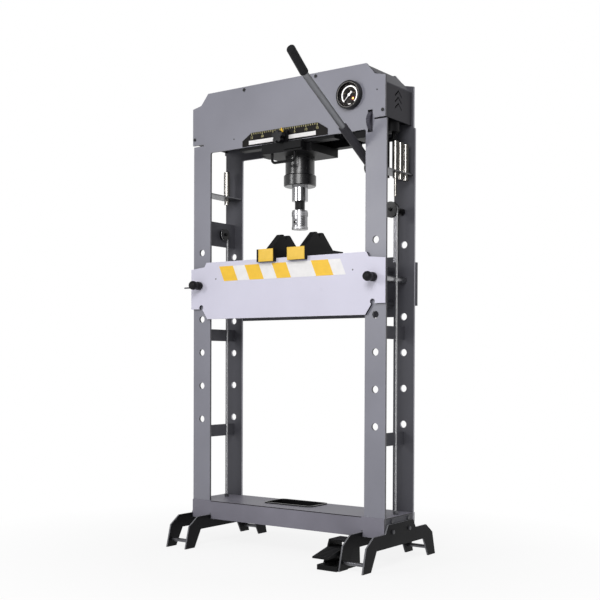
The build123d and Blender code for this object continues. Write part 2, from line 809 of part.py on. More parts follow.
# Carriage, clamp and ram
def build_carriage():
    """The sliding carriage with its clamp, pointer, handle, cylinder and scale plate."""
    plate = block((-carriage_half_length, carriage_half_length), (-carriage_half_width, carriage_half_width),
                  (carriage_bottom, carriage_top))
    plate += block((-tongue_half_length, tongue_half_length), (clamp_back_y, -carriage_half_width),
                   (carriage_bottom, carriage_top))
    plate -= bar("z", (0, 0, carriage_bottom), barrel_diameter + 2 * grip_clearance,
                 2 * (carriage_top - carriage_bottom) + 2 * overrun)
    nodes["carriage_plate"] = plate

    keeper_bottom = rail_bottom + rail_height + slide_clearance
    keeper = block((-keeper_half_length, keeper_half_length), (-carriage_half_width, carriage_half_width),
                   (keeper_bottom, keeper_bottom + keeper_thickness))
    nodes["carriage_keeper"] = keeper - bar("z", (0, 0, keeper_bottom), barrel_diameter + 2 * grip_clearance,
                                            2 * keeper_thickness + 2 * overrun)

    clamp = block((-tongue_half_length, tongue_half_length), (clamp_front_y, clamp_back_y),
                  (carriage_bottom, clamp_top))
    clamp += block((-clamp_tab_half_width, clamp_tab_half_width),
                   (clamp_front_y, clamp_front_y + clamp_tab_thickness), (clamp_top, clamp_tab_top))
    clamp += block((clamp_pad_inner, tongue_half_length),
                   (clamp_front_y - clamp_pad_thickness, clamp_front_y),
                   (clamp_pad_bottom, clamp_top - knob_hub_length))
    clamp -= bar("y", (0, clamp_front_y, clamp_screw_height), clamp_screw_diameter + 2 * running_clearance,
                 2 * clamp_thickness + 2 * overrun)
    nodes["clamp_block"] = clamp
    nodes["clamp_knob"] = clamp_knob()

    pointer_foot = clamp_tab_top - pointer_seat
    pointer = [(-pointer_half_width, pointer_foot), (pointer_half_width, pointer_foot),
               (0, pointer_foot + pointer_height)]
    nodes["scale_pointer"] = plate_xz(pointer, clamp_front_y - pointer_thickness, pointer_thickness)

    handle_y = clamp_back_y
    low = carriage_bottom - handle_drop
    path = FilletPolyline((-handle_half_width, handle_y, carriage_bottom),
                          (-handle_half_width, handle_y, low),
                          (handle_half_width, handle_y, low),
                          (handle_half_width, handle_y, carriage_bottom),
                          radius=handle_bend_radius)
    section = Plane(origin=path @ 0, z_dir=path % 0) * Circle(handle_bar_diameter / 2)
    nodes["carriage_handle"] = sweep(section, path=path)

    barrel = bar_between("z", (0, 0, 0), barrel_diameter, barrel_seat, barrel_top)
    nodes["cylinder_barrel"] = barrel - bar_between("z", (0, 0, 0), barrel_bore, barrel_seat - overrun,
                                                    barrel_top - barrel_cap)
    gland = bar_between("z", (0, 0, 0), gland_diameter, gland_bottom, gland_top)
    gland = chamfer(gland.edges().filter_by(GeomType.CIRCLE), gland_chamfer)
    gland -= bar_between("z", (0, 0, 0), barrel_diameter + 2 * grip_clearance, barrel_seat,
                         gland_top + overrun)
    nodes["cylinder_gland"] = gland - bar_between("z", (0, 0, 0), rod_diameter + 2 * running_clearance,
                                                  gland_bottom - overrun, gland_top)

    scale = both_sides([(scale_half_length, scale_bottom), (scale_half_length, scale_side_top),
                        (scale_crown_half_length, scale_top)])
    nodes["scale_plate"] = plate_xz(scale, -half_depth - scale_thickness, scale_thickness)


def clamp_knob():
    """A lobed clamp knob with its hub and screw, turning about an axis towards the front."""
    place = (0, 0, clamp_screw_height)
    hub_front = clamp_front_y - knob_tab_gap - knob_hub_length
    knob_front = hub_front - knob_thickness
    core_diameter = knob_diameter - knob_lobe_diameter
    knob = bar_between("y", place, core_diameter, knob_front, hub_front)
    for lobe in range(knob_lobes):
        turn = 2 * pi * lobe / knob_lobes + pi / 2
        reach = core_diameter / 2
        centre = (reach * cos(turn), 0, clamp_screw_height + reach * sin(turn))
        knob += bar_between("y", centre, knob_lobe_diameter, knob_front, hub_front)
    knob += bar_between("y", place, knob_hub_diameter, hub_front, clamp_front_y - knob_tab_gap)
    screw_end = -half_depth - scale_thickness - slide_clearance
    return knob + bar_between("y", place, clamp_screw_diameter, clamp_front_y - knob_tab_gap, screw_end)


def build_ram():
    """Piston with its rod, threaded stud and press head."""
    rod = bar_between("z", (0, 0, 0), rod_diameter, rod_bottom, piston_top)
    nodes["piston_rod"] = rod + bar_between("z", (0, 0, 0), barrel_bore - 2 * running_clearance,
                                            piston_top - piston_height, piston_top)
    nodes["ram_stud"] = bar_between("z", (0, 0, 0), stud_diameter, head_top, rod_bottom)
    head = bar_between("z", (0, 0, 0), head_waist_diameter, head_bottom, head_top)
    head += bar_between("z", (0, 0, 0), head_diameter, head_bottom, head_bottom + head_rim_height)
    band_top = head_top - head_band_offset
    head += bar_between("z", (0, 0, 0), head_diameter, band_top - head_band_height, band_top)
    flat = block((-head_flat_width / 2, head_flat_width / 2),
                 (-head_diameter / 2 - overrun, -head_waist_diameter / 2 + head_flat_depth),
                 (head_screw_height - head_flat_height / 2, head_screw_height + head_flat_height / 2))
    flat += bar_between("y", (0, 0, head_screw_height), head_screw_diameter,
                        -head_diameter / 2, -head_waist_diameter / 2 + head_flat_depth + head_screw_depth)
    nodes["press_head"] = head - Rot(0, 0, head_screw_turn) * flat


# Gauge
def build_gauge():
    """Pressure gauge on the beam: case with bezel and stem, dial, needle and glass."""
    place = (gauge_x, 0, gauge_height)
    front = -half_depth - gauge_depth
    recess = gauge_diameter - 2 * gauge_bezel
    case = bar_between("y", place, gauge_diameter, front, -half_depth)
    rim = case.edges().filter_by(GeomType.CIRCLE).group_by(Axis.Y)[0]
    case = fillet(rim, gauge_edge_radius)
    floor_y = -half_depth - gauge_floor
    case -= bar_between("y", place, recess, front - overrun, floor_y)
    nodes["gauge_case"] = case + bar_between("y", place, gauge_stem_diameter, -half_depth,
                                             -half_depth + gauge_stem_length)
    disc_diameter = recess - 2 * dial_clearance
    dial = bar_between("y", place, disc_diameter, floor_y - dial_thickness, floor_y)
    nodes["gauge_dial"] = dial - bar("y", (gauge_x, floor_y, gauge_height),
                                     needle_shaft_diameter + 2 * running_clearance, gauge_floor)
    nodes["gauge_glass"] = bar_between("y", place, disc_diameter, front + glass_inset,
                                       front + glass_inset + glass_thickness)
    needle_back = floor_y - dial_thickness - needle_standoff
    outline = [(needle_length, 0), (0, needle_width / 2), (-needle_tail, needle_tail_width / 2),
               (-needle_tail, -needle_tail_width / 2), (0, -needle_width / 2)]
    turn = radians(needle_turn)
    turned = [(gauge_x + a * cos(turn) - b * sin(turn), gauge_height + a * sin(turn) + b * cos(turn))
              for a, b in outline]
    needle = plate_xz(turned, needle_back - needle_thickness, needle_thickness)
    needle += bar_between("y", place, needle_hub_diameter, needle_back - 2 * needle_thickness, needle_back)
    nodes["gauge_needle"] = needle + bar_between("y", place, needle_shaft_diameter, needle_back, floor_y)


# Pump, lever and release wheel
def along_lever(reach):
    """The point at a distance from the pivot along the lever."""
    turn = radians(lever_angle)
    return (lever_x, lever_pivot_y - reach * cos(turn), lever_pivot_height + reach * sin(turn))


def slanted_bar(start, angle, length, diameter):
    """A round bar in the lever's plane, from a point forwards and up at an angle from level."""
    plane = Plane(origin=start, z_dir=(0, -cos(radians(angle)), sin(radians(angle))))
    return extrude(plane * Circle(diameter / 2), amount=length)


def build_pump():
    """Pump block, oil reservoir, lever, pivot pin and release wheel."""
    xs = (lever_x - pump_width / 2, lever_x + pump_width / 2)
    rear = pump_front + pump_length
    pump = block(xs, (pump_front, rear), (pump_bottom, pump_top))
    pump += block(xs, (-inner_half_depth, rear), (pump_web_bottom, pump_top))
    boss_xs = (xs[1] - valve_boss_width, xs[1])
    pump += block(boss_xs, (-inner_half_depth, -inner_half_depth + valve_boss_depth),
                  (pump_top, valve_boss_top))
    pivot = (lever_x, lever_pivot_y, lever_pivot_height)
    for ear_left in (xs[0], xs[1] - pump_ear_thickness):
        ear_xs = (ear_left, ear_left + pump_ear_thickness)
        pump += block(ear_xs, (lever_pivot_y, pump_front),
                      (lever_pivot_height - pump_ear_reach, lever_pivot_height + pump_ear_reach))
        pump += bar_between("x", pivot, 2 * pump_ear_reach, *ear_xs)
    pump -= bar("x", pivot, lever_pin_diameter, pump_width + 2 * overrun)
    pump -= bar_between("x", (0, wheel_y, wheel_height), spindle_diameter + 2 * running_clearance,
                        xs[1] - spindle_depth, xs[1] + overrun)
    nodes["pump_block"] = pump
    pivot_pins.append(bar_between("x", pivot, lever_pin_diameter, *xs))

    tank = bar_between("z", (reservoir_x, reservoir_y, 0), reservoir_diameter, reservoir_bottom,
                       reservoir_bottom + reservoir_length)
    strap_half = reservoir_strap_height / 2
    tank += block((reservoir_x - reservoir_strap_width / 2, reservoir_x + reservoir_strap_width / 2),
                  (reservoir_y, inner_half_depth),
                  (reservoir_middle - strap_half, reservoir_middle + strap_half))
    elbow = (reservoir_x, reservoir_pipe_y, reservoir_pipe_height)
    tank += bar_between("z", elbow, reservoir_pipe_diameter, reservoir_pipe_height, reservoir_bottom)
    tank += Pos(*elbow) * Sphere(reservoir_pipe_diameter / 2)
    nodes["oil_reservoir"] = tank + bar_between("x", elbow, reservoir_pipe_diameter, xs[1], reservoir_x)

    eye = bar("x", pivot, lever_eye_diameter, lever_eye_width)
    socket = slanted_bar(pivot, lever_angle, socket_length, socket_diameter)
    socket += eye
    bore_start = along_lever(socket_length - socket_bore_depth)
    socket -= slanted_bar(bore_start, lever_angle, socket_bore_depth + overrun,
                          lever_tube_diameter + 2 * lever_fit)
    half_slot = lever_eye_width / 2
    keep = block((lever_x - half_slot, lever_x + half_slot),
                 (lever_pivot_y - 2 * socket_length, lever_pivot_y + lever_eye_diameter),
                 (lever_pivot_height - lever_eye_diameter, lever_pivot_height + 2 * socket_length))
    nodes["lever_socket"] = (socket & keep) - bar("x", pivot, lever_pin_diameter + 2 * running_clearance,
                                                  pump_width + 2 * overrun)
    tube_length = lever_tube_end - socket_length + socket_bore_depth
    bend = along_lever(lever_tube_end)
    tube = slanted_bar(bore_start, lever_angle, tube_length, lever_tube_diameter)
    tube += Pos(*bend) * Sphere(lever_tube_diameter / 2)
    nodes["lever_tube"] = tube + slanted_bar(bend, grip_angle, lever_grip_bore, lever_tube_diameter)
    turn = radians(grip_angle)
    grip_start = (bend[0], bend[1] - lever_grip_start * cos(turn), bend[2] + lever_grip_start * sin(turn))
    grip = slanted_bar(grip_start, grip_angle, lever_grip_length, lever_grip_diameter)
    grip = fillet(grip.edges().filter_by(GeomType.CIRCLE).sort_by(Axis.Z)[-1], lever_grip_radius)
    grip -= slanted_bar(bend, grip_angle, lever_grip_bore, lever_tube_diameter + 2 * lever_fit)
    nodes["lever_grip"] = grip

    wheel = bar_between("x", (0, wheel_y, wheel_height), wheel_diameter, wheel_left,
                        wheel_left + wheel_thickness)
    nodes["release_wheel"] = wheel + bar_between("x", (0, wheel_y, wheel_height), spindle_diameter,
                                                 xs[1] - spindle_depth, wheel_left)


# Tool shelves, mandrels and lifting rope
def mandrel(x, y, diameter, shelf_top):
    """A bright mandrel that stands on a shelf with its narrower shank through a hole."""
    body = bar_between("z", (x, y, 0), diameter, shelf_top, shelf_top + mandrel_length)
    body = chamfer(body.edges().filter_by(GeomType.CIRCLE).group_by(Axis.Z)[-1], mandrel_chamfer)
    return body + bar_between("z", (x, y, 0), diameter - 2 * mandrel_shank_step,
                              shelf_top - mandrel_shank_length, shelf_top)


def tool_shelf(side, width, shelf_top, bore, hole_places):
    """A shelf between the frame plates, with a tall front flange and one hole for each mandrel."""
    x = side * column_centre
    shelf = block((x - width / 2, x + width / 2), (-inner_half_depth, inner_half_depth),
                  (shelf_top - shelf_sheet, shelf_top))
    shelf += block((x - shelf_flange_width / 2, x + shelf_flange_width / 2),
                   (-inner_half_depth, -inner_half_depth + shelf_sheet),
                   (shelf_top - shelf_flange_below, shelf_top + shelf_flange_above))
    for hole_x, hole_y in hole_places:
        shelf -= bar("z", (hole_x, hole_y, shelf_top), bore, 2 * shelf_sheet + 2 * overrun)
    return shelf


def grooved_wheel(axis, centre, radius, width):
    """A rope wheel with a rounded groove; the rope's centre line runs at the radius."""
    outer = 2 * (radius + sheave_lip)
    groove = rope_radius + rope_gap
    turns = {"x": Rot(0, 90, 0), "y": Rot(90, 0, 0)}
    mouth = bar(axis, centre, outer + 2 * overrun, 2 * groove) - bar(axis, centre, 2 * radius, width)
    wheel = bar(axis, centre, outer, width) - mouth
    wheel -= Pos(*centre) * turns[axis] * Torus(radius, groove)
    return wheel - bar(axis, centre, axle_diameter + 2 * grip_clearance, width + 2 * overrun)


def rope(route):
    """A wire rope of round section along a route of lines and arcs."""
    return sweep(Plane(origin=route @ 0, z_dir=route % 0) * Circle(rope_radius), path=route)


def build_tools():
    """Tool shelves with mandrels, the rope plate with its drum, the sheave and the two wire ropes."""
    mandrels = []
    bolts = []
    for label, side, width, top, mandrel_x, diameter, ys in (
            ("left", -1, left_shelf_width, left_shelf_top, -column_centre, left_mandrel_diameter,
             left_mandrel_ys),
            ("right", 1, right_shelf_width, right_shelf_top, right_mandrel_x, right_mandrel_diameter,
             right_mandrel_ys)):
        hole = diameter - 2 * mandrel_shank_step + 2 * mandrel_hole_clearance
        nodes[f"tool_shelf_{label}"] = tool_shelf(side, width, top, hole, [(mandrel_x, y) for y in ys])
        mandrels += [mandrel(mandrel_x, y, diameter, top) for y in ys]
        for up in (top - shelf_flange_below + shelf_bolt_inset, top + shelf_flange_above - shelf_bolt_inset):
            place = (side * column_centre, -inner_half_depth + shelf_sheet + bolt_head_height, up)
            bolts.append(hex_head("y", place, bolt_across_flats, bolt_head_height))
    long_shank_place = (right_mandrel_x, right_mandrel_ys[0], 0)
    mandrels[-len(right_mandrel_ys)] += bar_between("z", long_shank_place, long_shank_diameter,
                                                    right_shelf_top - long_shank_length,
                                                    right_shelf_top - mandrel_shank_length)
    nodes["mandrels"] = group(*mandrels)
    fasteners.extend(bolts)

    plate_x = -column_centre
    nodes["rope_plate"] = block((plate_x - spacer_thickness / 2, plate_x + spacer_thickness / 2),
                                (-inner_half_depth, inner_half_depth),
                                (rope_plate_bottom, rope_plate_bottom + rope_plate_height))
    face_x = plate_x + spacer_thickness / 2
    drum_x = face_x + drum_stand + sheave_width / 2
    drum_centre = (drum_x, drum_y, drum_height)
    sheave_centre = (sheave_x, sheave_y, sheave_height)
    nodes["rope_wheels"] = group(grooved_wheel("x", drum_centre, drum_radius, sheave_width),
                                 grooved_wheel("y", sheave_centre, sheave_radius, sheave_width))
    drum_axle = bar_between("x", drum_centre, axle_diameter, face_x, drum_x + sheave_width / 2 + axle_tail)
    sheave_front = sheave_y - sheave_width / 2 - axle_tail
    sheave_axle = bar_between("y", sheave_centre, axle_diameter, sheave_front, inner_half_depth)
    sheave_axle += bar_between("y", sheave_centre, axle_boss_diameter, inner_half_depth - axle_boss_length,
                               inner_half_depth)
    nodes["rope_axles"] = group(drum_axle, sheave_axle)

    rope_foot = base_top + anchor_height
    left_y = drum_y + drum_radius
    drum_top = (drum_x, drum_y, drum_height + drum_radius)
    drum_front = (drum_x, drum_y - drum_radius, drum_height)
    drum_low = (drum_x, drum_y, drum_height - drum_radius)
    slant = drum_radius * sin(pi / 4)
    drum_corner = (drum_x, drum_y - slant, drum_height - slant)
    rise = Line((drum_x, left_y, rope_foot), (drum_x, left_y, drum_height))
    wrap = ThreePointArc((drum_x, left_y, drum_height), drum_top, drum_front)
    nodes["rope_left"] = rope(rise + wrap + ThreePointArc(drum_front, drum_corner, drum_low))
    outer_x = sheave_x + sheave_radius
    inner_x = sheave_x - sheave_radius
    lug_top = bed_tube_heights[-1] + lug_height
    rise = Line((outer_x, sheave_y, rope_foot), (outer_x, sheave_y, sheave_height))
    over = ThreePointArc((outer_x, sheave_y, sheave_height),
                         (sheave_x, sheave_y, sheave_height + sheave_radius),
                         (inner_x, sheave_y, sheave_height))
    fall = Line((inner_x, sheave_y, sheave_height), (inner_x, sheave_y, lug_top))
    nodes["rope_right"] = rope(rise + over + fall)

    fittings = []
    for x, y in ((drum_x, left_y), (outer_x, sheave_y)):
        fittings.append(bar_between("z", (x, y, 0), anchor_diameter, base_top, rope_foot))
    lug = block((bed_tube_half_spacing, inner_x + lug_reach),
                (sheave_y - lug_thickness / 2, sheave_y + lug_thickness / 2), (bed_tube_heights[-1], lug_top))
    tube_gap = bed_tube_diameter + 2 * grip_clearance
    fittings.append(lug - bar("y", (bed_tube_half_spacing, 0, bed_tube_heights[-1]), tube_gap, frame_depth))
    fittings.append(block((column_inner, column_inner + lift_strip_width),
                          (inner_half_depth - lift_strip_thickness, inner_half_depth),
                          (bed_top - lift_strip_tuck, sheave_height + sheave_radius)))
    nodes["rope_fittings"] = group(*fittings)


# Foot pedal
def build_pedal():
    """A floor pedal with a hood over the rear of its treadle, standing against the right foot."""
    right = column_inner - foot_inner_offset - foot_thickness
    left = right - pedal_width
    base = block((left, right), (pedal_rear_y - pedal_length, pedal_rear_y), (0, pedal_floor_height))
    cheek = [(pedal_rear_y - pedal_cheek_front, pedal_floor_height),
             (pedal_rear_y, pedal_floor_height),
             (pedal_rear_y - pedal_hood_rear, pedal_hood_top),
             (pedal_rear_y - pedal_hood_front, pedal_hood_top)]
    base += plate_yz(cheek, left, pedal_cheek_thickness)
    base += plate_yz(cheek, right - pedal_cheek_thickness, pedal_cheek_thickness)
    base += block((left, right), (pedal_rear_y - pedal_hood_front, pedal_rear_y - pedal_hood_rear),
                  (pedal_hood_top - pedal_hood_thickness, pedal_hood_top))
    pivot = (0, treadle_pivot_y, treadle_pivot_height)
    base -= bar_between("x", pivot, treadle_pin_diameter, left - overrun, right + overrun)
    nodes["pedal_base"] = base
    pivot_pins.append(bar_between("x", pivot, treadle_pin_diameter, left, right))
    top = treadle_pivot_height + treadle_half_thickness
    low = treadle_pivot_height - treadle_half_thickness
    tip_top = top - treadle_tip_drop
    outline = [(pedal_rear_y - treadle_rear, low),
               (pedal_rear_y - treadle_rear, top),
               (pedal_rear_y - treadle_bend, top),
               (pedal_rear_y - treadle_tip, tip_top),
               (pedal_rear_y - treadle_tip, tip_top - treadle_tip_thickness),
               (pedal_rear_y - treadle_bend, low)]
    inset = pedal_cheek_thickness + treadle_side_clearance
    treadle = plate_yz(outline, left + inset, pedal_width - 2 * inset)
    pin_gap = treadle_pin_diameter + 2 * running_clearance
    nodes["treadle"] = treadle - bar_between("x", pivot, pin_gap, left, right)


build_frame()
build_base()
build_bed()
build_carriage()
build_ram()
build_gauge()
build_pump()
build_tools()
build_pedal()
nodes["frame_bolts"] = group(*fasteners)
nodes["pivot_pins"] = group(*pivot_pins)

# The shared frame stands on the floor, in the middle of the whole machine's box
whole = Compound(list(nodes.values())).bounding_box()
stand = Pos(-whole.center().X, -whole.center().Y, -whole.min.Z)
print("stand shift", stand.position)

os.makedirs("parts", exist_ok=True)
for name, solid in nodes.items():
    export_step(stand * solid, f"parts/{name}.step")
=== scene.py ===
"""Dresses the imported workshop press: finishes, printed marks, small hardware, light and camera."""
import logging
import math
from dataclasses import dataclass
from enum import Enum
from typing import Callable, Iterable, Sequence, Union

import bpy
from mathutils import Matrix, Vector


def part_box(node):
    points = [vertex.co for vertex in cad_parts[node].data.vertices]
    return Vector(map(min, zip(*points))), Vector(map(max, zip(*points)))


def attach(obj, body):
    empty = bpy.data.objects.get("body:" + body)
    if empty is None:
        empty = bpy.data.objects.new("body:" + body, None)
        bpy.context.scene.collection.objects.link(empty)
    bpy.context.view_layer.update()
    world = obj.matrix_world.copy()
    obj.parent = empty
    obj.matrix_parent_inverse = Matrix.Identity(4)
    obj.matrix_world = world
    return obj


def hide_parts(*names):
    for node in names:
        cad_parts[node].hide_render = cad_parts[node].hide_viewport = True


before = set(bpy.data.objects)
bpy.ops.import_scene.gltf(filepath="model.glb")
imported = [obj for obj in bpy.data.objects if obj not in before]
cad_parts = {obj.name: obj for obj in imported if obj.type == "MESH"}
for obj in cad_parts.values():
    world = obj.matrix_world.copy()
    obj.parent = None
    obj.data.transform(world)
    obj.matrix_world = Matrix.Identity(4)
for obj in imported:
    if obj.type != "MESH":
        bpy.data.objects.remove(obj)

log = logging.getLogger("workshop_press")

MM = 0.001
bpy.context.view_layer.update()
Colour = tuple[float, float, float, float]
Profile = Sequence[tuple[float, float]]
Places = Sequence[tuple[float, float]]
Socket = bpy.types.NodeSocket
Node = bpy.types.Node
Tree = bpy.types.NodeTree
Piece = bpy.types.Object
Feed = Union[Socket, float, Colour, tuple[float, float, float]]


def ink(red: int, green: int, blue: int) -> Colour:
    """Turn a screen colour into the linear colour that shaders use.

    Args:
        red: Red, 0 to 255.
        green: Green, 0 to 255.
        blue: Blue, 0 to 255.

    Returns:
        The linear colour with full alpha.
    """
    parts = [value / 255 for value in (red, green, blue)]
    linear = [part / 12.92 if part <= 0.04045 else ((part + 0.055) / 1.055) ** 2.4 for part in parts]
    return (linear[0], linear[1], linear[2], 1.0)


def shade(colour: Colour, factor: float) -> Colour:
    """Scale a colour's brightness."""
    return (colour[0] * factor, colour[1] * factor, colour[2] * factor, 1.0)


class Axis(Enum):
    """The frame's axes, by their index in a coordinate."""

    X = 0
    Y = 1
    Z = 2


class Graph:
    """Wires the nodes of one shader tree."""

    # Sockets of the colour mix, whose names repeat in the node
    MIX_SHARE = 0
    MIX_FIRST = 6
    MIX_SECOND = 7
    MIX_RESULT = 2

    def __init__(self, tree: Tree) -> None:
        """Keep the tree that the nodes go into."""
        self.tree = tree

    def add(self, kind: str, **settings: object) -> Node:
        """Add a node.

        Args:
            kind: The node's Blender type.
            **settings: Node properties to set.

        Returns:
            The new node.
        """
        node = self.tree.nodes.new(kind)
        for key, value in settings.items():
            setattr(node, key, value)
        return node

    def feed(self, socket: Socket, value: Feed) -> None:
        """Link a socket to an output, or set its plain value.

        Args:
            socket: The input to fill.
            value: An output socket or a plain value.
        """
        if isinstance(value, Socket):
            self.tree.links.new(value, socket)
        else:
            socket.default_value = value

    def math(self, operation: str, first: Feed, second: Feed = 0.0,
             clamp: bool = False) -> Socket:
        """Add a math node.

        Args:
            operation: Blender's name for the operation.
            first: First operand.
            second: Second operand.
            clamp: Whether the result stays between 0 and 1.

        Returns:
            The result's socket.
        """
        node = self.add("ShaderNodeMath", operation=operation, use_clamp=clamp)
        self.feed(node.inputs[0], first)
        self.feed(node.inputs[1], second)
        return node.outputs[0]

    def span(self, value: Feed, low: float, high: float, start: float = 0.0,
             end: float = 1.0) -> Socket:
        """Map a value from one range to another.

        Args:
            value: The value to map.
            low: Result at start.
            high: Result at end.
            start: Start of the value's range.
            end: End of the value's range.

        Returns:
            The mapped value's socket.
        """
        node = self.add("ShaderNodeMapRange")
        for name, plain in (("From Min", start), ("From Max", end), ("To Min", low), ("To Max", high)):
            node.inputs[name].default_value = plain
        self.feed(node.inputs["Value"], value)
        return node.outputs["Result"]

    def mix(self, factor: Feed, first: Feed, second: Feed) -> Socket:
        """Mix two colours.

        Args:
            factor: Share of the second colour.
            first: First colour.
            second: Second colour.

        Returns:
            The mixed colour's socket.
        """
        node = self.add("ShaderNodeMix", data_type="RGBA")
        self.feed(node.inputs[self.MIX_SHARE], factor)
        self.feed(node.inputs[self.MIX_FIRST], first)
        self.feed(node.inputs[self.MIX_SECOND], second)
        return node.outputs[self.MIX_RESULT]

    def noise(self, vector: Socket, scale: Feed, detail: float = 2.0) -> Socket:
        """Add a noise texture.

        Args:
            vector: Where the noise is read.
            scale: Cells per metre.
            detail: How many finer layers it has.

        Returns:
            The noise value's socket.
        """
        node = self.add("ShaderNodeTexNoise")
        node.inputs["Detail"].default_value = detail
        self.feed(node.inputs["Vector"], vector)
        self.feed(node.inputs["Scale"], scale)
        return node.outputs["Fac"]

    def place(self) -> Socket:
        """Give the surface point in the piece's own coordinates."""
        return self.add("ShaderNodeTexCoord").outputs["Object"]

    def along(self, axis: Axis) -> Socket:
        """Give the surface point's coordinate along one axis."""
        parts = self.add("ShaderNodeSeparateXYZ")
        self.feed(parts.inputs[0], self.place())
        return parts.outputs[axis.value]

    def effect(self, tree: Tree, **inputs: Feed) -> Node:
        """Place a shared effect with its own values.

        Args:
            tree: The effect's node group.
            **inputs: Values or sockets, by input name with underscores for spaces.

        Returns:
            The group node.
        """
        node = self.add("ShaderNodeGroup", node_tree=tree)
        for name, value in inputs.items():
            self.feed(node.inputs[name.replace("_", " ")], value)
        return node

    def show(self, share: Feed, first: Socket, second: Socket) -> None:
        """Show a blend of two shaders on the surface.

        Args:
            share: Share of the second shader.
            first: First shader.
            second: Second shader.
        """
        node = self.add("ShaderNodeMixShader")
        for socket, value in zip(node.inputs, (share, first, second)):
            self.feed(socket, value)
        self.feed(self.tree.nodes["Material Output"].inputs["Surface"], node.outputs[0])


class Effects:
    """Shader node groups that several finishes share, each built once."""

    built: dict[str, Tree] = {}
    CLOUD_DETAIL = 3.0
    CLOUD_RANGE = (0.3, 0.7)
    PEEL_DETAIL = 1.0
    GRAIN_DETAIL = 3.0
    STAIN_DETAIL = 4.0
    SCUFF_DETAIL = 6.0
    SCUFF_GAIN = 14.0

    @classmethod
    def group(cls, name: str, inputs: dict[str, str], outputs: Sequence[str],
              wire: Callable[[Graph, Node, Node], None]) -> Tree:
        """Build a node group on its first use.

        Args:
            name: The group's name.
            inputs: Socket type by input name.
            outputs: Names of its float outputs.
            wire: Fills the group between its input and output nodes.

        Returns:
            The node group.
        """
        if name not in cls.built:
            tree = bpy.data.node_groups.new(name, "ShaderNodeTree")
            for label, kind in inputs.items():
                tree.interface.new_socket(label, in_out="INPUT", socket_type=kind)
            for label in outputs:
                tree.interface.new_socket(label, in_out="OUTPUT", socket_type="NodeSocketFloat")
            graph = Graph(tree)
            wire(graph, graph.add("NodeGroupInput"), graph.add("NodeGroupOutput"))
            cls.built[name] = tree
        return cls.built[name]

    @classmethod
    def coat_skin(cls) -> Tree:
        """Cloudy tone and fine peel of a sprayed coat."""
        def wire(graph: Graph, given: Node, result: Node) -> None:
            """Read two noises of different size."""
            place = graph.place()
            cloud = graph.noise(place, given.outputs["Cloud Scale"], cls.CLOUD_DETAIL)
            graph.feed(result.inputs["Cloud"], graph.span(cloud, 0.0, 1.0, *cls.CLOUD_RANGE))
            peel = graph.noise(place, given.outputs["Peel Scale"], cls.PEEL_DETAIL)
            graph.feed(result.inputs["Peel"], peel)
        sizes = {"Cloud Scale": "NodeSocketFloat", "Peel Scale": "NodeSocketFloat"}
        return cls.group("coat_skin", sizes, ("Cloud", "Peel"), wire)

    @classmethod
    def drawn_grain(cls) -> Tree:
        """Fine lines that drawing, turning or grinding leaves in bare metal."""
        def wire(graph: Graph, given: Node, result: Node) -> None:
            """Stretch a noise along the line direction."""
            stretch = graph.add("ShaderNodeVectorMath", operation="MULTIPLY")
            graph.feed(stretch.inputs[0], graph.place())
            graph.feed(stretch.inputs[1], given.outputs["Lines"])
            grain = graph.noise(stretch.outputs[0], 1.0, cls.GRAIN_DETAIL)
            stain = graph.noise(graph.place(), given.outputs["Stain Scale"], cls.STAIN_DETAIL)
            graph.feed(result.inputs["Grain"], grain)
            graph.feed(result.inputs["Stain"], stain)
        sizes = {"Lines": "NodeSocketVector", "Stain Scale": "NodeSocketFloat"}
        return cls.group("drawn_grain", sizes, ("Grain", "Stain"), wire)

    @classmethod
    def cut_edge(cls) -> Tree:
        """The cut edge of a plate: everything between its two faces."""
        def wire(graph: Graph, given: Node, result: Node) -> None:
            """Test the position against both faces."""
            above = graph.math("GREATER_THAN", given.outputs["Position"], given.outputs["Low"])
            below = graph.math("LESS_THAN", given.outputs["Position"], given.outputs["High"])
            graph.feed(result.inputs["Edge"], graph.math("MULTIPLY", above, below))
        sizes = {name: "NodeSocketFloat" for name in ("Position", "Low", "High")}
        return cls.group("cut_edge", sizes, ("Edge",), wire)

    @classmethod
    def scuffs(cls) -> Tree:
        """Sparse rubbed spots."""
        def wire(graph: Graph, given: Node, result: Node) -> None:
            """Keep only the peaks of a noise."""
            spots = graph.noise(graph.place(), given.outputs["Scale"], cls.SCUFF_DETAIL)
            over = graph.math("SUBTRACT", spots, given.outputs["Threshold"])
            graph.feed(result.inputs["Rubbed"], graph.math("MULTIPLY", over, cls.SCUFF_GAIN, clamp=True))
        sizes = {"Scale": "NodeSocketFloat", "Threshold": "NodeSocketFloat"}
        return cls.group("scuffs", sizes, ("Rubbed",), wire)


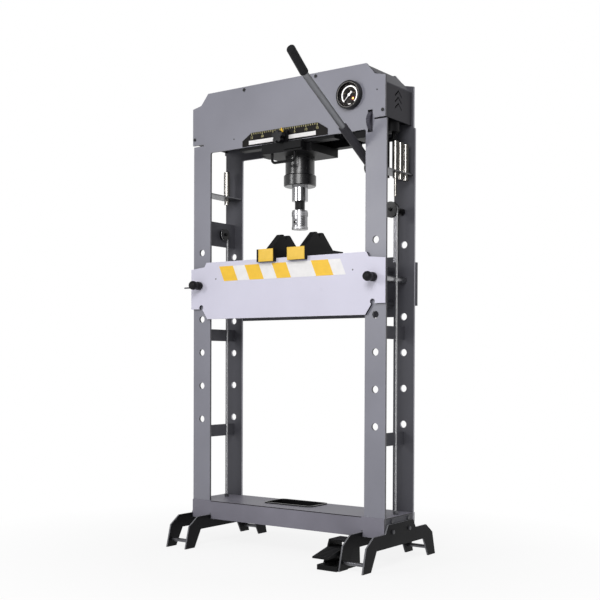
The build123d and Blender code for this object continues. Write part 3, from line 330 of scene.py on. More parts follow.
@dataclass(frozen=True)
class Finish:
    """A surface finish, made into a material on its first use."""

    name: str
    colour: Colour
    roughness: float
    specular: float = 0.5

    def material(self) -> bpy.types.Material:
        """Give the finish's material.

        Returns:
            The material, the same one on every call.
        """
        key = f"{self.name}_finish"
        if key in bpy.data.materials:
            return bpy.data.materials[key]
        material = bpy.data.materials.new(key)
        material.use_nodes = True
        shader = material.node_tree.nodes["Principled BSDF"]
        shader.inputs["Specular IOR Level"].default_value = self.specular
        self.wire(Graph(material.node_tree), shader)
        return material

    def wire(self, graph: Graph, shader: Node) -> None:
        """Wire the finish; each kind of finish has its own way."""
        raise NotImplementedError

    def bump(self, graph: Graph, shader: Node, height: Feed, strength: float, depth: float) -> None:
        """Feed a bump into the shader's normal.

        Args:
            graph: The material's graph.
            shader: Its shader node.
            height: The height's socket.
            strength: Strength of the bump.
            depth: Depth in metres.
        """
        node = graph.add("ShaderNodeBump")
        node.inputs["Strength"].default_value = strength
        node.inputs["Distance"].default_value = depth
        graph.feed(node.inputs["Height"], height)
        graph.feed(shader.inputs["Normal"], node.outputs["Normal"])

    def gloss(self, graph: Graph, shader: Node, source: Feed, swing: float) -> None:
        """Let the roughness swing evenly about its middle value."""
        graph.feed(shader.inputs["Roughness"],
                   graph.span(source, self.roughness - swing, self.roughness + swing))


@dataclass(frozen=True)
class SprayCoat(Finish):
    """Sprayed or powder coat with a fine peel, a cloudy tone and rubbed spots."""

    tone: float = 0.06
    peel_scale: float = 700.0
    peel: float = 0.15
    rub_threshold: float = 0.71
    rub_lift: float = 1.25
    rub_scale: float = 26.0
    cloud_scale: float = 5.0
    gloss_swing: float = 0.05
    peel_depth: float = 0.3 * MM

    def body_colour(self, graph: Graph, cloud: Feed) -> Socket:
        """Mix the coat's tones and rubbed spots.

        Args:
            graph: The material's graph.
            cloud: The cloudy tone's socket.

        Returns:
            The coat's colour socket.
        """
        coat = graph.mix(cloud, shade(self.colour, 1 - self.tone), shade(self.colour, 1 + self.tone))
        spots = graph.effect(Effects.scuffs(), Scale=self.rub_scale, Threshold=self.rub_threshold)
        return graph.mix(spots.outputs["Rubbed"], coat, shade(self.colour, self.rub_lift))

    def wire(self, graph: Graph, shader: Node) -> None:
        """Wire tone, gloss and peel."""
        skin = graph.effect(Effects.coat_skin(), Cloud_Scale=self.cloud_scale, Peel_Scale=self.peel_scale)
        graph.feed(shader.inputs["Base Color"], self.body_colour(graph, skin.outputs["Cloud"]))
        self.gloss(graph, shader, skin.outputs["Cloud"], self.gloss_swing)
        self.bump(graph, shader, skin.outputs["Peel"], self.peel, self.peel_depth)


@dataclass(frozen=True)
class CutPlate(SprayCoat):
    """Coated plate whose cut edges have a colour of their own, which on some plates is painted shade or
    painted light.
    """

    axis: Axis = Axis.X
    low: float = 0.0
    high: float = 0.0
    edge: Colour = (0.2, 0.2, 0.2, 1.0)
    edge_tones: tuple[float, float] = (0.85, 1.1)
    margin: float = 0.05 * MM

    def body_colour(self, graph: Graph, cloud: Feed) -> Socket:
        """Add the cut edge to the coat.

        Args:
            graph: The material's graph.
            cloud: The cloudy tone's socket.

        Returns:
            The plate's colour socket.
        """
        coat = super().body_colour(graph, cloud)
        cut = graph.effect(Effects.cut_edge(), Position=graph.along(self.axis), Low=self.low + self.margin,
                           High=self.high - self.margin)
        dark, light = (shade(self.edge, tone) for tone in self.edge_tones)
        # On the frame and bed plates this edge colour is painted shade or painted light
        return graph.mix(cut.outputs["Edge"], coat, graph.mix(cloud, dark, light))


@dataclass(frozen=True)
class BoltSet(SprayCoat):
    """Blackened bolts whose lowest ones, near the floor, are zinc plated."""

    zinc: Colour = (0.3, 0.3, 0.31, 1.0)
    below: float = 0.25

    def body_colour(self, graph: Graph, cloud: Feed) -> Socket:
        """Change from black to zinc by height.

        Args:
            graph: The material's graph.
            cloud: The cloudy tone's socket.

        Returns:
            The bolts' colour socket.
        """
        low = graph.math("LESS_THAN", graph.along(Axis.Z), self.below)
        return graph.mix(low, super().body_colour(graph, cloud), self.zinc)


@dataclass(frozen=True)
class BareSteel(Finish):
    """Bare or plated steel with fine tool lines, faint stains and painted shade towards its outline."""

    lines: tuple[float, float, float] = (40.0, 40.0, 1500.0)
    stain: float = 0.12
    metallic: float = 1.0
    line_depth: float = 0.08
    # Painted shade: share of the colour kept where the surface turns away from the view, over the facing
    # range rim
    painted_rim_shade: float = 1.0
    rim: tuple[float, float] = (0.25, 0.9)
    stain_scale: float = 35.0
    stain_range: tuple[float, float] = (0.35, 0.7)
    grain_range: tuple[float, float] = (0.3, 0.7)
    grain_gloss: tuple[float, float] = (0.6, 1.4)
    grain_depth: float = 0.2 * MM

    def wire(self, graph: Graph, shader: Node) -> None:
        """Wire the tool lines into gloss, tone and bump, and darken the colour towards the outline as painted
        shade.
        """
        shader.inputs["Metallic"].default_value = self.metallic
        grain = graph.effect(Effects.drawn_grain(), Lines=self.lines, Stain_Scale=self.stain_scale)
        tone = graph.span(grain.outputs["Stain"], 1.0, 0.0, *self.stain_range)
        steel = graph.mix(tone, shade(self.colour, 1 - self.stain), self.colour)
        # Painted shade: the colour darkens where the surface turns away from the view
        rim_shade_share = graph.span(graph.add("ShaderNodeLayerWeight").outputs["Facing"], 0.0, 1.0, *self.rim)
        graph.feed(shader.inputs["Base Color"],
                   graph.mix(rim_shade_share, steel, shade(self.colour, self.painted_rim_shade)))
        smooth, rough = (self.roughness * share for share in self.grain_gloss)
        graph.feed(shader.inputs["Roughness"],
                   graph.span(grain.outputs["Grain"], smooth, rough, *self.grain_range))
        self.bump(graph, shader, grain.outputs["Grain"], self.line_depth, self.grain_depth)


@dataclass(frozen=True)
class Moulded(Finish):
    """Moulded plastic or rubber with a fine spark-eroded texture."""

    texture_scale: float = 1400.0
    texture: float = 0.3
    dust: float = 0.5
    cloud_scale: float = 22.0
    gloss_swing: float = 0.06
    texture_depth: float = 0.3 * MM

    def wire(self, graph: Graph, shader: Node) -> None:
        """Wire tone, gloss and texture."""
        skin = graph.effect(Effects.coat_skin(), Cloud_Scale=self.cloud_scale, Peel_Scale=self.texture_scale)
        graph.feed(shader.inputs["Base Color"],
                   graph.mix(skin.outputs["Cloud"], self.colour, shade(self.colour, 1 + self.dust)))
        self.gloss(graph, shader, skin.outputs["Cloud"], self.gloss_swing)
        self.bump(graph, shader, skin.outputs["Peel"], self.texture, self.texture_depth)


@dataclass(frozen=True)
class Print(Finish):
    """Printed film or screen ink, a little uneven in its cover."""

    tones: tuple[float, float] = (0.95, 1.03)
    cloud_scale: float = 40.0
    grain_scale: float = 900.0
    gloss_swing: float = 0.04

    def wire(self, graph: Graph, shader: Node) -> None:
        """Wire the ink's tone and gloss."""
        skin = graph.effect(Effects.coat_skin(), Cloud_Scale=self.cloud_scale, Peel_Scale=self.grain_scale)
        dark, light = (shade(self.colour, tone) for tone in self.tones)
        graph.feed(shader.inputs["Base Color"], graph.mix(skin.outputs["Cloud"], dark, light))
        self.gloss(graph, shader, skin.outputs["Peel"], self.gloss_swing)


@dataclass(frozen=True)
class ClearGlass(Finish):
    """A clear pane with a few faint smears, which lets the lamps shine through."""

    bend: float = 1.05
    smear_scale: float = 60.0
    grain_scale: float = 600.0
    smear: float = 0.03

    def wire(self, graph: Graph, shader: Node) -> None:
        """Wire the smears into the pane's gloss."""
        shader.inputs["Base Color"].default_value = self.colour
        shader.inputs["Transmission Weight"].default_value = 1.0
        shader.inputs["IOR"].default_value = self.bend
        skin = graph.effect(Effects.coat_skin(), Cloud_Scale=self.smear_scale, Peel_Scale=self.grain_scale)
        graph.feed(shader.inputs["Roughness"],
                   graph.span(skin.outputs["Cloud"], self.roughness, self.roughness + self.smear))
        shadow = graph.add("ShaderNodeLightPath").outputs["Is Shadow Ray"]
        graph.show(shadow, shader.outputs[0], graph.add("ShaderNodeBsdfTransparent").outputs[0])


@dataclass(frozen=True)
class WireRope(BareSteel):
    """Steel wire rope whose strands wind round its straight run."""

    axis_x: float = 0.0
    axis_y: float = 0.0
    strands: int = 6
    pitch: float = 40 * MM
    # Share of the colour kept in the valleys between strands, as painted shade
    painted_valley_shade: float = 0.35
    valley_gloss: float = 0.2
    lay_strength: float = 0.8
    lay_depth: float = 1 * MM

    def wire(self, graph: Graph, shader: Node) -> None:
        """Wire the strands' helix into tone and bump; the tone is painted shade in the valleys between the
        strands.
        """
        shader.inputs["Metallic"].default_value = self.metallic
        parts = graph.add("ShaderNodeSeparateXYZ")
        graph.feed(parts.inputs[0], graph.place())
        angle = graph.math("ARCTAN2", graph.math("SUBTRACT", parts.outputs[1], self.axis_y),
                           graph.math("SUBTRACT", parts.outputs[0], self.axis_x))
        climb = graph.math("MULTIPLY", parts.outputs[2], 2 * math.pi * self.strands / self.pitch)
        turn = graph.math("MULTIPLY", angle, float(self.strands))
        wave = graph.math("SINE", graph.math("ADD", turn, climb))
        lay = graph.span(wave, 0.0, 1.0, -1.0, 1.0)
        # Painted shade: the colour darkens in the valleys between the strands
        valley = shade(self.colour, self.painted_valley_shade)
        graph.feed(shader.inputs["Base Color"], graph.mix(lay, valley, self.colour))
        graph.feed(shader.inputs["Roughness"],
                   graph.span(lay, self.roughness + self.valley_gloss, self.roughness))
        self.bump(graph, shader, lay, self.lay_strength, self.lay_depth)


class Paintwork:
    """The press's own finishes."""

    FRONT = SprayCoat("frame_front_coat", ink(126, 126, 137), 0.42, 0.9)
    CHARCOAL = SprayCoat("frame_inner_coat", ink(80, 80, 86), 0.5, 0.25)
    TRAY = SprayCoat("base_tray_coat", ink(55, 54, 59), 0.45, 0.25)
    FOOT = SprayCoat("foot_plate_coat", ink(12, 12, 15), 0.5, 0.12, tone=0.15, rub_lift=1.7)
    PANEL = SprayCoat("beam_end_coat", ink(55, 54, 59), 0.5, 0.2)
    BED = SprayCoat("bed_plate_coat", ink(214, 212, 228), 0.42, 0.3, tone=0.03, rub_lift=0.95)
    BLACK = SprayCoat("black_coat", ink(15, 15, 17), 0.5, 0.15, tone=0.15, rub_lift=1.8)
    IRON = SprayCoat("gloss_black_coat", ink(14, 14, 16), 0.3, 0.35, tone=0.2, peel_scale=420.0, rub_lift=2.0)
    GLOSS = SprayCoat("cylinder_coat", ink(19, 19, 22), 0.26, 0.8, tone=0.15, peel_scale=420.0, rub_lift=1.6)
    BOLTS = BoltSet("bolt_finish", ink(26, 26, 28), 0.4, 0.4, tone=0.2, zinc=ink(66, 66, 71))
    # The bright steels and the lever tube darken towards their outlines as painted shade
    CHROME = BareSteel("chromed_steel", ink(200, 200, 203), 0.12, lines=(60.0, 60.0, 2600.0), stain=0.1,
                       line_depth=0.03, painted_rim_shade=0.3)
    GROUND = BareSteel("ground_steel", ink(190, 190, 193), 0.28, lines=(70.0, 70.0, 1800.0), stain=0.15,
                       line_depth=0.03, painted_rim_shade=0.3)
    TURNED = BareSteel("turned_steel", ink(196, 192, 186), 0.2, lines=(70.0, 70.0, 1800.0), stain=0.15,
                       line_depth=0.03, painted_rim_shade=0.1, rim=(0.04, 0.4))
    SATIN = BareSteel("satin_steel", ink(212, 212, 215), 0.5, lines=(70.0, 70.0, 1800.0), stain=0.12,
                      line_depth=0.03, painted_rim_shade=0.25)
    TUBE = BareSteel("lever_tube_coat", ink(126, 127, 131), 0.38, lines=(900.0, 40.0, 40.0), metallic=0.6,
                     painted_rim_shade=0.2)
    ZINC = BareSteel("zinc_plate", ink(112, 112, 116), 0.4, lines=(300.0, 300.0, 300.0), stain=0.3)
    RUBBER = Moulded("grip_rubber", ink(15, 15, 18), 0.5, 0.2)
    PLASTIC = Moulded("moulded_black", ink(14, 14, 17), 0.35, 0.3, texture=0.12)
    WHEEL = Moulded("wheel_plastic", ink(66, 65, 74), 0.4, 0.3, texture=0.12, dust=0.2)
    YELLOW = Print("safety_yellow", ink(246, 198, 60), 0.42, 0.3)
    CAP = Print("cap_yellow", ink(240, 198, 78), 0.4, 0.3)
    WHITE = Print("tape_white", ink(238, 236, 236), 0.4, 0.3)
    DIAL = Print("dial_black", ink(22, 19, 18), 0.5, 0.15)
    DIM_INK = Print("dial_brown", ink(112, 100, 84), 0.5, 0.15)
    SCALE_INK = Print("scale_ink", ink(196, 188, 138), 0.5, 0.2)
    RED_INK = Print("dial_red", ink(128, 34, 28), 0.45, 0.2)
    SPOT_INK = Print("dial_yellow", ink(252, 222, 120), 0.45, 0.2)
    # Painted highlight: a light-grey ring standing in for the bright inner edge of the gauge's bezel
    RIM_HIGHLIGHT = Print("bezel_painted_highlight", ink(176, 172, 168), 0.35, 0.4)
    GLASS = ClearGlass("gauge_pane", (1.0, 1.0, 1.0, 1.0), 0.02)


class Bench:
    """Models new pieces with Blender's operators."""

    MERGE_DISTANCE = 0.01 * MM
    SMALL_FACETS = 20
    TYPE_SIZE = 1.4
    TYPE_STEPS = 3

    @staticmethod
    def clear() -> None:
        """Deselect everything, so that an operator acts on the new piece alone."""
        bpy.ops.object.select_all(action="DESELECT")

    @staticmethod
    def only(piece: Piece) -> None:
        """Select one piece and make it active."""
        Bench.clear()
        piece.select_set(True)
        bpy.context.view_layer.objects.active = piece

    @staticmethod
    def settle(piece: Piece) -> None:
        """Put a piece's place into its mesh."""
        Bench.only(piece)
        bpy.ops.object.transform_apply(location=True, rotation=True, scale=True)

    @staticmethod
    def move(piece: Piece, matrix: Matrix) -> Piece:
        """Place a piece that was modelled at the origin.

        Args:
            piece: The piece.
            matrix: Where it goes.

        Returns:
            The same piece, with its place in its mesh.
        """
        piece.matrix_world = matrix @ piece.matrix_world
        Bench.settle(piece)
        return piece

    @staticmethod
    def pick(piece: Piece, test: Callable[[Vector], bool]) -> None:
        """Enter edit mode with only some vertices selected.

        Args:
            piece: The piece, in object mode.
            test: Says whether the vertex at a place is taken.
        """
        Bench.only(piece)
        bpy.ops.object.mode_set(mode="EDIT")
        bpy.ops.mesh.select_mode(type="VERT")
        bpy.ops.mesh.select_all(action="DESELECT")
        bpy.ops.object.mode_set(mode="OBJECT")
        for vertex in piece.data.vertices:
            vertex.select = test(vertex.co)
        bpy.ops.object.mode_set(mode="EDIT")

    @staticmethod
    def block(name: str, low: Sequence[float], high: Sequence[float], bevel: float = 0.0) -> Piece:
        """Model a rectangular piece with broken edges.

        Args:
            name: The piece's name.
            low: Lowest corner in metres.
            high: Highest corner in metres.
            bevel: Width of its broken edges.

        Returns:
            The piece, in place.
        """
        Bench.clear()
        centre = [(a + b) / 2 for a, b in zip(low, high)]
        size = [b - a for a, b in zip(low, high)]
        bpy.ops.mesh.primitive_cube_add(size=1.0, location=centre, scale=size)
        piece = bpy.context.object
        piece.name = name
        Bench.settle(piece)
        if bevel:
            Bench.bevel(piece, bevel)
        return piece

    @staticmethod
    def bevel(piece: Piece, width: float, segments: int = 2) -> None:
        """Round a piece's sharp edges.

        Args:
            piece: The piece.
            width: Width of the rounding in metres.
            segments: Facets across it.
        """
        Bench.only(piece)
        modifier = piece.modifiers.new("broken_edge", "BEVEL")
        modifier.width = width
        modifier.segments = segments
        modifier.limit_method = "ANGLE"
        bpy.ops.object.modifier_apply(modifier=modifier.name)

    @staticmethod
    def turned(name: str, profile: Profile, segments: int = 48) -> Piece:
        """Turn a solid piece about the vertical axis, as on a lathe.

        Args:
            name: The piece's name.
            profile: Height and radius of each step in metres, from the bottom up.
            segments: Facets round the axis.

        Returns:
            The piece, at the origin.
        """
        Bench.clear()
        height, radius = profile[0]
        bpy.ops.mesh.primitive_circle_add(vertices=segments, radius=radius, fill_type="NGON",
                                          location=(0.0, 0.0, height))
        piece = bpy.context.object
        piece.name = name
        bpy.ops.object.mode_set(mode="EDIT")
        bpy.ops.mesh.select_mode(type="FACE")
        bpy.ops.mesh.select_all(action="SELECT")
        for (below, old), (above, new) in zip(profile, profile[1:]):
            bpy.ops.mesh.extrude_region_move(TRANSFORM_OT_translate={"value": (0.0, 0.0, above - below)})
            bpy.ops.transform.resize(value=(new / old, new / old, 1.0), center_override=(0.0, 0.0, above))
        bpy.ops.mesh.select_all(action="SELECT")
        bpy.ops.mesh.normals_make_consistent(inside=False)
        bpy.ops.object.mode_set(mode="OBJECT")
        Bench.settle(piece)
        return piece

    @staticmethod
    def pinch(piece: Piece, test: Callable[[Vector], bool], factor: float) -> None:
        """Draw some vertices of a turned piece towards its axis.

        Args:
            piece: The piece, at the origin.
            test: Says whether the vertex at a place is drawn in.
            factor: Its new radius as a share of the old.
        """
        Bench.pick(piece, test)
        bpy.ops.transform.resize(value=(factor, factor, 1.0), center_override=(0.0, 0.0, 0.0))
        bpy.ops.object.mode_set(mode="OBJECT")

    @staticmethod
    def studs(name: str, plate: str, profile: Profile, places: Places) -> Piece:
        """Set equal small studs in the front of a plate.

        Args:
            name: The studs' name.
            plate: The CAD node they stand on.
            profile: Height and radius of each step of a stud.
            places: X and Z of each stud.

        Returns:
            The studs as one piece, in place.
        """
        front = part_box(plate)[0].y
        pattern = Bench.turned(f"{name}_pattern", profile, Bench.SMALL_FACETS)
        studs = [Bench.copy(pattern, facing_front((x, front, z))) for x, z in places]
        bpy.data.objects.remove(pattern)
        return Bench.join(name, studs)

    @staticmethod
    def arc(name: str, inner: float, outer: float, start: float, sweep: float, depth: float,
            steps: int = 48) -> Piece:
        """Spin a flat band round the Y axis.

        Args:
            name: The piece's name.
            inner: Inner radius in metres.
            outer: Outer radius in metres.
            start: Angle of its start from straight up, clockwise as seen from the front, in degrees.
            sweep: How far it runs, clockwise, in degrees.
            depth: Its thickness in metres.
            steps: Facets along it.

        Returns:
            The band, at the origin, with its face towards the front.
        """
        piece = Bench.block(name, (-depth / 2, 0.0, inner), (depth / 2, depth, outer))
        Bench.pick(piece, lambda point: True)
        bpy.ops.mesh.delete(type="ONLY_FACE")
        bpy.ops.object.mode_set(mode="OBJECT")
        Bench.pick(piece, lambda point: point.x > 0)
        bpy.ops.mesh.delete(type="VERT")
        bpy.ops.object.mode_set(mode="OBJECT")
        Bench.pick(piece, lambda point: True)
        bpy.ops.transform.translate(value=(depth / 2, 0.0, 0.0))
        bpy.ops.mesh.edge_face_add()
        bpy.ops.mesh.spin(steps=steps, angle=-math.radians(sweep), center=(0.0, 0.0, 0.0),
                          axis=(0.0, 1.0, 0.0))
        bpy.ops.mesh.select_all(action="SELECT")
        bpy.ops.mesh.remove_doubles(threshold=Bench.MERGE_DISTANCE)
        bpy.ops.mesh.normals_make_consistent(inside=False)
        bpy.ops.object.mode_set(mode="OBJECT")
        return Bench.move(piece, Matrix.Rotation(math.radians(start), 4, "Y"))

    @staticmethod
    def copy(piece: Piece, matrix: Matrix) -> Piece:
        """Copy a piece with its own mesh to another place.

        Args:
            piece: The pattern piece.
            matrix: How the copy moves from the pattern.

        Returns:
            The copy.
        """
        twin = piece.copy()
        twin.data = piece.data.copy()
        bpy.context.collection.objects.link(twin)
        return Bench.move(twin, matrix)

    @staticmethod
    def join(name: str, pieces: Sequence[Piece]) -> Piece:
        """Make one piece of several.

        Args:
            name: The joined piece's name.
            pieces: What to join.

        Returns:
            The joined piece.
        """
        Bench.clear()
        for piece in pieces:
            piece.select_set(True)
        bpy.context.view_layer.objects.active = pieces[0]
        bpy.ops.object.join()
        pieces[0].name = name
        return pieces[0]

    @staticmethod
    def lettering(name: str, text: str, height: float, depth: float, matrix: Matrix) -> Piece:
        """Set a number as a thin mesh.

        Args:
            name: The piece's name.
            text: The number.
            height: Height of its digits in metres.
            depth: Its thickness in metres.
            matrix: Where its centre goes, facing up before it is placed.

        Returns:
            The number's mesh, in place.
        """
        Bench.clear()
        bpy.ops.object.text_add(location=(0.0, 0.0, 0.0))
        piece = bpy.context.object
        piece.name = name
        piece.data.body = text
        piece.data.size = height * Bench.TYPE_SIZE
        piece.data.extrude = depth / 2
        piece.data.resolution_u = Bench.TYPE_STEPS
        piece.data.align_x = "CENTER"
        piece.data.align_y = "CENTER"
        Bench.only(piece)
        bpy.ops.object.convert(target="MESH")
        return Bench.move(bpy.context.object, matrix)

    @staticmethod
    def hand_over(piece: Piece, finish: Finish, body: str, slot: str,
                  angle: float = 35.0) -> None:
        """Finish a piece and give it to its body.

        Args:
            piece: The piece, in place.
            finish: Its surface finish.
            body: The CAD body it rides on.
            slot: The record's material slot; not used.
            angle: Largest angle that is shaded smooth, in degrees.
        """
        Bench.only(piece)
        bpy.ops.object.shade_smooth_by_angle(angle=math.radians(angle))
        piece.data.materials.clear()
        piece.data.materials.append(finish.material())
        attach(piece, body)
        log.info("piece %s on %s, %d faces", piece.name, body, len(piece.data.polygons))


def paint(finish: Finish, names: Iterable[str]) -> None:
    """Give CAD nodes a finish.

    Args:
        finish: The finish.
        names: The nodes' names.
    """
    for name in names:
        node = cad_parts[name]
        if not node.material_slots:
            node.data.materials.append(None)
        for place in node.material_slots:
            place.material = finish.material()
        log.info("node %s in %s", name, finish.name)


def paint_plate(coat: SprayCoat, name: str, axis: Axis, edge: Colour) -> None:
    """Give a cut plate its coat, and its edges a colour of their own, which on some plates is painted shade
    or painted light.

    Args:
        coat: The coat of its faces.
        name: The plate's node.
        axis: The axis across its two faces.
        edge: The edges' colour.
    """
    low, high = (corner[axis.value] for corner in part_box(name))
    faces = {**vars(coat), "name": f"{name}_coat"}
    paint(CutPlate(**faces, axis=axis, low=low, high=high, edge=edge), (name,))


def facing_front(place: Sequence[float]) -> Matrix:
    """Stand a flat piece up to face the front at a place."""
    return Matrix.Translation(place) @ Matrix.Rotation(math.pi / 2, 4, "X")


@dataclass
class SubAssembly:
    """A part of the press that is finished, and often given more pieces."""

    def dress(self) -> None:
        """Give the CAD nodes their finishes."""
        raise NotImplementedError

    def build(self) -> None:
        """Model the pieces that the CAD leaves to the picture; a bare sub-assembly has none."""


@dataclass
class PortalFrame(SubAssembly):
    """The welded columns and head beam."""

    # Painted shade on the front plate's cut edges, also round its slots and holes
    painted_shade_edge: Colour = ink(52, 51, 58)
    # Painted light on the rear plate's cut edges
    painted_lit_edge: Colour = ink(190, 189, 197)
    rivet_places: Places = ((-238 * MM, 1561 * MM), (400 * MM, 1655 * MM))
    rivet_profile: Profile = ((0.0, 2.6 * MM), (0.5 * MM, 2.6 * MM), (1.1 * MM, 2.0 * MM),
                              (1.3 * MM, 1.0 * MM), (1.0 * MM, 0.7 * MM))

    def dress(self) -> None:
        """Coat the frame's plates and covers."""
        # The front plate's cut edges take painted shade
        paint_plate(Paintwork.FRONT, "front_frame_plate", Axis.Y, self.painted_shade_edge)
        # The rear plate's cut edges take painted light
        paint_plate(Paintwork.CHARCOAL, "rear_frame_plate", Axis.Y, self.painted_lit_edge)
        paint(Paintwork.CHARCOAL, ("beam_cover", "column_spacers"))
        paint(Paintwork.BLACK, ("beam_rails",))
        paint(Paintwork.PANEL, ("beam_end_plates",))
        paint(Paintwork.BOLTS, ("frame_bolts",))
        paint(Paintwork.GROUND, ("pivot_pins",))

    def build(self) -> None:
        """Set the small blind rivets in the front plate."""
        rivets = Bench.studs("front_rivets", "front_frame_plate", self.rivet_profile, self.rivet_places)
        Bench.hand_over(rivets, Paintwork.IRON, "frame", "black_iron")


@dataclass
class FloorBase(SubAssembly):
    """The base tray with its tool well, and the four foot plates."""

    sheet: Colour = ink(130, 128, 139)
    foot_edge: Colour = ink(120, 120, 124)
    seam_height: float = 2.6 * MM
    seam_depth: float = 0.3 * MM

    def dress(self) -> None:
        """Coat the tray with its dark ends, and the foot plates with their lighter cut edges."""
        paint_plate(Paintwork.TRAY, "base_tray", Axis.X, self.sheet)
        paint(Paintwork.CHARCOAL, ("base_end_covers",))
        paint(Paintwork.IRON, ("base_tool_well",))
        paint(Paintwork.ZINC, ("foot_rods",))
        for side in ("left", "right"):
            for row in ("outer", "inner"):
                paint_plate(Paintwork.FOOT, f"foot_plate_{side}_{row}", Axis.X, self.foot_edge)

    def build(self) -> None:
        """Draw the open seam between the tray's top sheet and its front skirt."""
        low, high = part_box("base_tray")
        reach = abs(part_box("foot_plate_right_inner")[0].x)
        seam = Bench.block("base_seam", (-reach, low.y - self.seam_depth, high.z - self.seam_height),
                           (reach, low.y, high.z))
        Bench.bevel(seam, self.seam_depth / 3, 1)
        Bench.hand_over(seam, Paintwork.BLACK, "frame", "black_paint")


@dataclass
class PressBed(SubAssembly):
    """The bed plates with the striped tape across the front."""

    tape_low: float = 1021 * MM
    tape_high: float = 1078 * MM
    tape_left: float = -301 * MM
    tape_right: float = 257 * MM
    lean: float = 24.5 * MM
    film: float = 0.35 * MM
    stripes: Places = ((-301 * MM, -233 * MM), (-176 * MM, -108 * MM), (-47 * MM, 18 * MM),
                       (130 * MM, 205 * MM))
    # Painted shade on the front bed plate's cut edges
    painted_shade_edge: Colour = ink(66, 65, 72)
    plug_places: Places = ((-318 * MM, 1031 * MM), (310 * MM, 1036 * MM))
    plug_profile: Profile = ((0.0, 3.0 * MM), (0.2 * MM, 3.0 * MM), (0.4 * MM, 2.4 * MM),
                             (0.1 * MM, 1.8 * MM))

    def dress(self) -> None:
        """Coat the plates."""
        paint_plate(Paintwork.BED, "bed_front_plate", Axis.Y, self.painted_shade_edge)
        paint(Paintwork.CHARCOAL, ("bed_rear_plate", "bed_spacer_tubes"))

    def stripe(self, name: str, left: float, right: float, back: float) -> Piece:
        """Model one strip of tape with leaning ends.

        Args:
            name: The strip's name.
            left: X of its top left corner.
            right: X of its top right corner.
            back: Y of the face it sticks to.

        Returns:
            The strip, in place.
        """
        strip = Bench.block(name, (left, back - self.film, self.tape_low), (right, back, self.tape_high))
        Bench.pick(strip, lambda point: point.z < self.tape_low + MM)
        bpy.ops.transform.translate(value=(self.lean, 0.0, 0.0))
        bpy.ops.object.mode_set(mode="OBJECT")
        return strip

    def build(self) -> None:
        """Stick the white tape and its yellow stripes on the front plate, and set its plugs."""
        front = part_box("bed_front_plate")[0].y
        white = self.stripe("bed_tape", self.tape_left, self.tape_right, front)
        Bench.hand_over(white, Paintwork.WHITE, "frame", "white")
        strips = [self.stripe(f"bed_stripe_{index + 1}", left, right, front - self.film)
                  for index, (left, right) in enumerate(self.stripes)]
        Bench.hand_over(Bench.join("bed_stripes", strips), Paintwork.YELLOW, "frame", "yellow")
        plugs = Bench.studs("bed_plugs", "bed_front_plate", self.plug_profile, self.plug_places)
        Bench.hand_over(plugs, Paintwork.ZINC, "frame", "steel")


@dataclass
class StrokeScale(SubAssembly):
    """The carriage scale on the beam's lower edge."""

    strip: tuple[float, float, float, float] = (-164 * MM, 144 * MM, 1530 * MM, 1545 * MM)
    half_span: float = 150 * MM
    tick_count: int = 31
    long_every: int = 5
    tick_top: float = 1573 * MM
    tick_short: float = 6 * MM
    tick_long: float = 10 * MM
    tick_width: float = 2.4 * MM
    numbers: tuple[str, ...] = ("15", "10", "5", "0", "5", "10", "15")
    digit_height: float = 9.5 * MM
    digit_level: float = 1555 * MM
    film: float = 0.3 * MM

    def dress(self) -> None:
        """Coat the scale plate."""
        paint(Paintwork.DIAL, ("scale_plate",))

    def along(self, index: int, count: int) -> float:
        """Give the X of one of several even divisions."""
        return -self.half_span + 2 * self.half_span * index / (count - 1)

    def build(self) -> None:
        """Print the strip, the divisions and the numbers."""
        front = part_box("scale_plate")[0].y
        left, right, low, high = self.strip
        strip = Bench.block("scale_strip", (left, front - self.film, low), (right, front, high))
        Bench.bevel(strip, self.film / 3, 1)
        Bench.hand_over(strip, Paintwork.WHITE, "frame", "white")
        half = self.tick_width / 2
        ticks = []
        for index in range(self.tick_count):
            x = self.along(index, self.tick_count)
            drop = self.tick_long if index % self.long_every == 0 else self.tick_short
            foot = self.tick_top - drop
            ticks.append(Bench.block(f"scale_tick_{index}", (x - half, front - self.film, foot),
                                     (x + half, front, self.tick_top), self.film / 4))
        Bench.hand_over(Bench.join("scale_ticks", ticks), Paintwork.SCALE_INK, "frame", "yellow")
        digits = []
        for index, number in enumerate(self.numbers):
            place = (self.along(index, len(self.numbers)), front - self.film / 2, self.digit_level)
            digits.append(Bench.lettering(f"scale_digit_{index}", number, self.digit_height, self.film,
                                          facing_front(place)))
        Bench.hand_over(Bench.join("scale_digits", digits), Paintwork.SCALE_INK, "frame", "yellow")


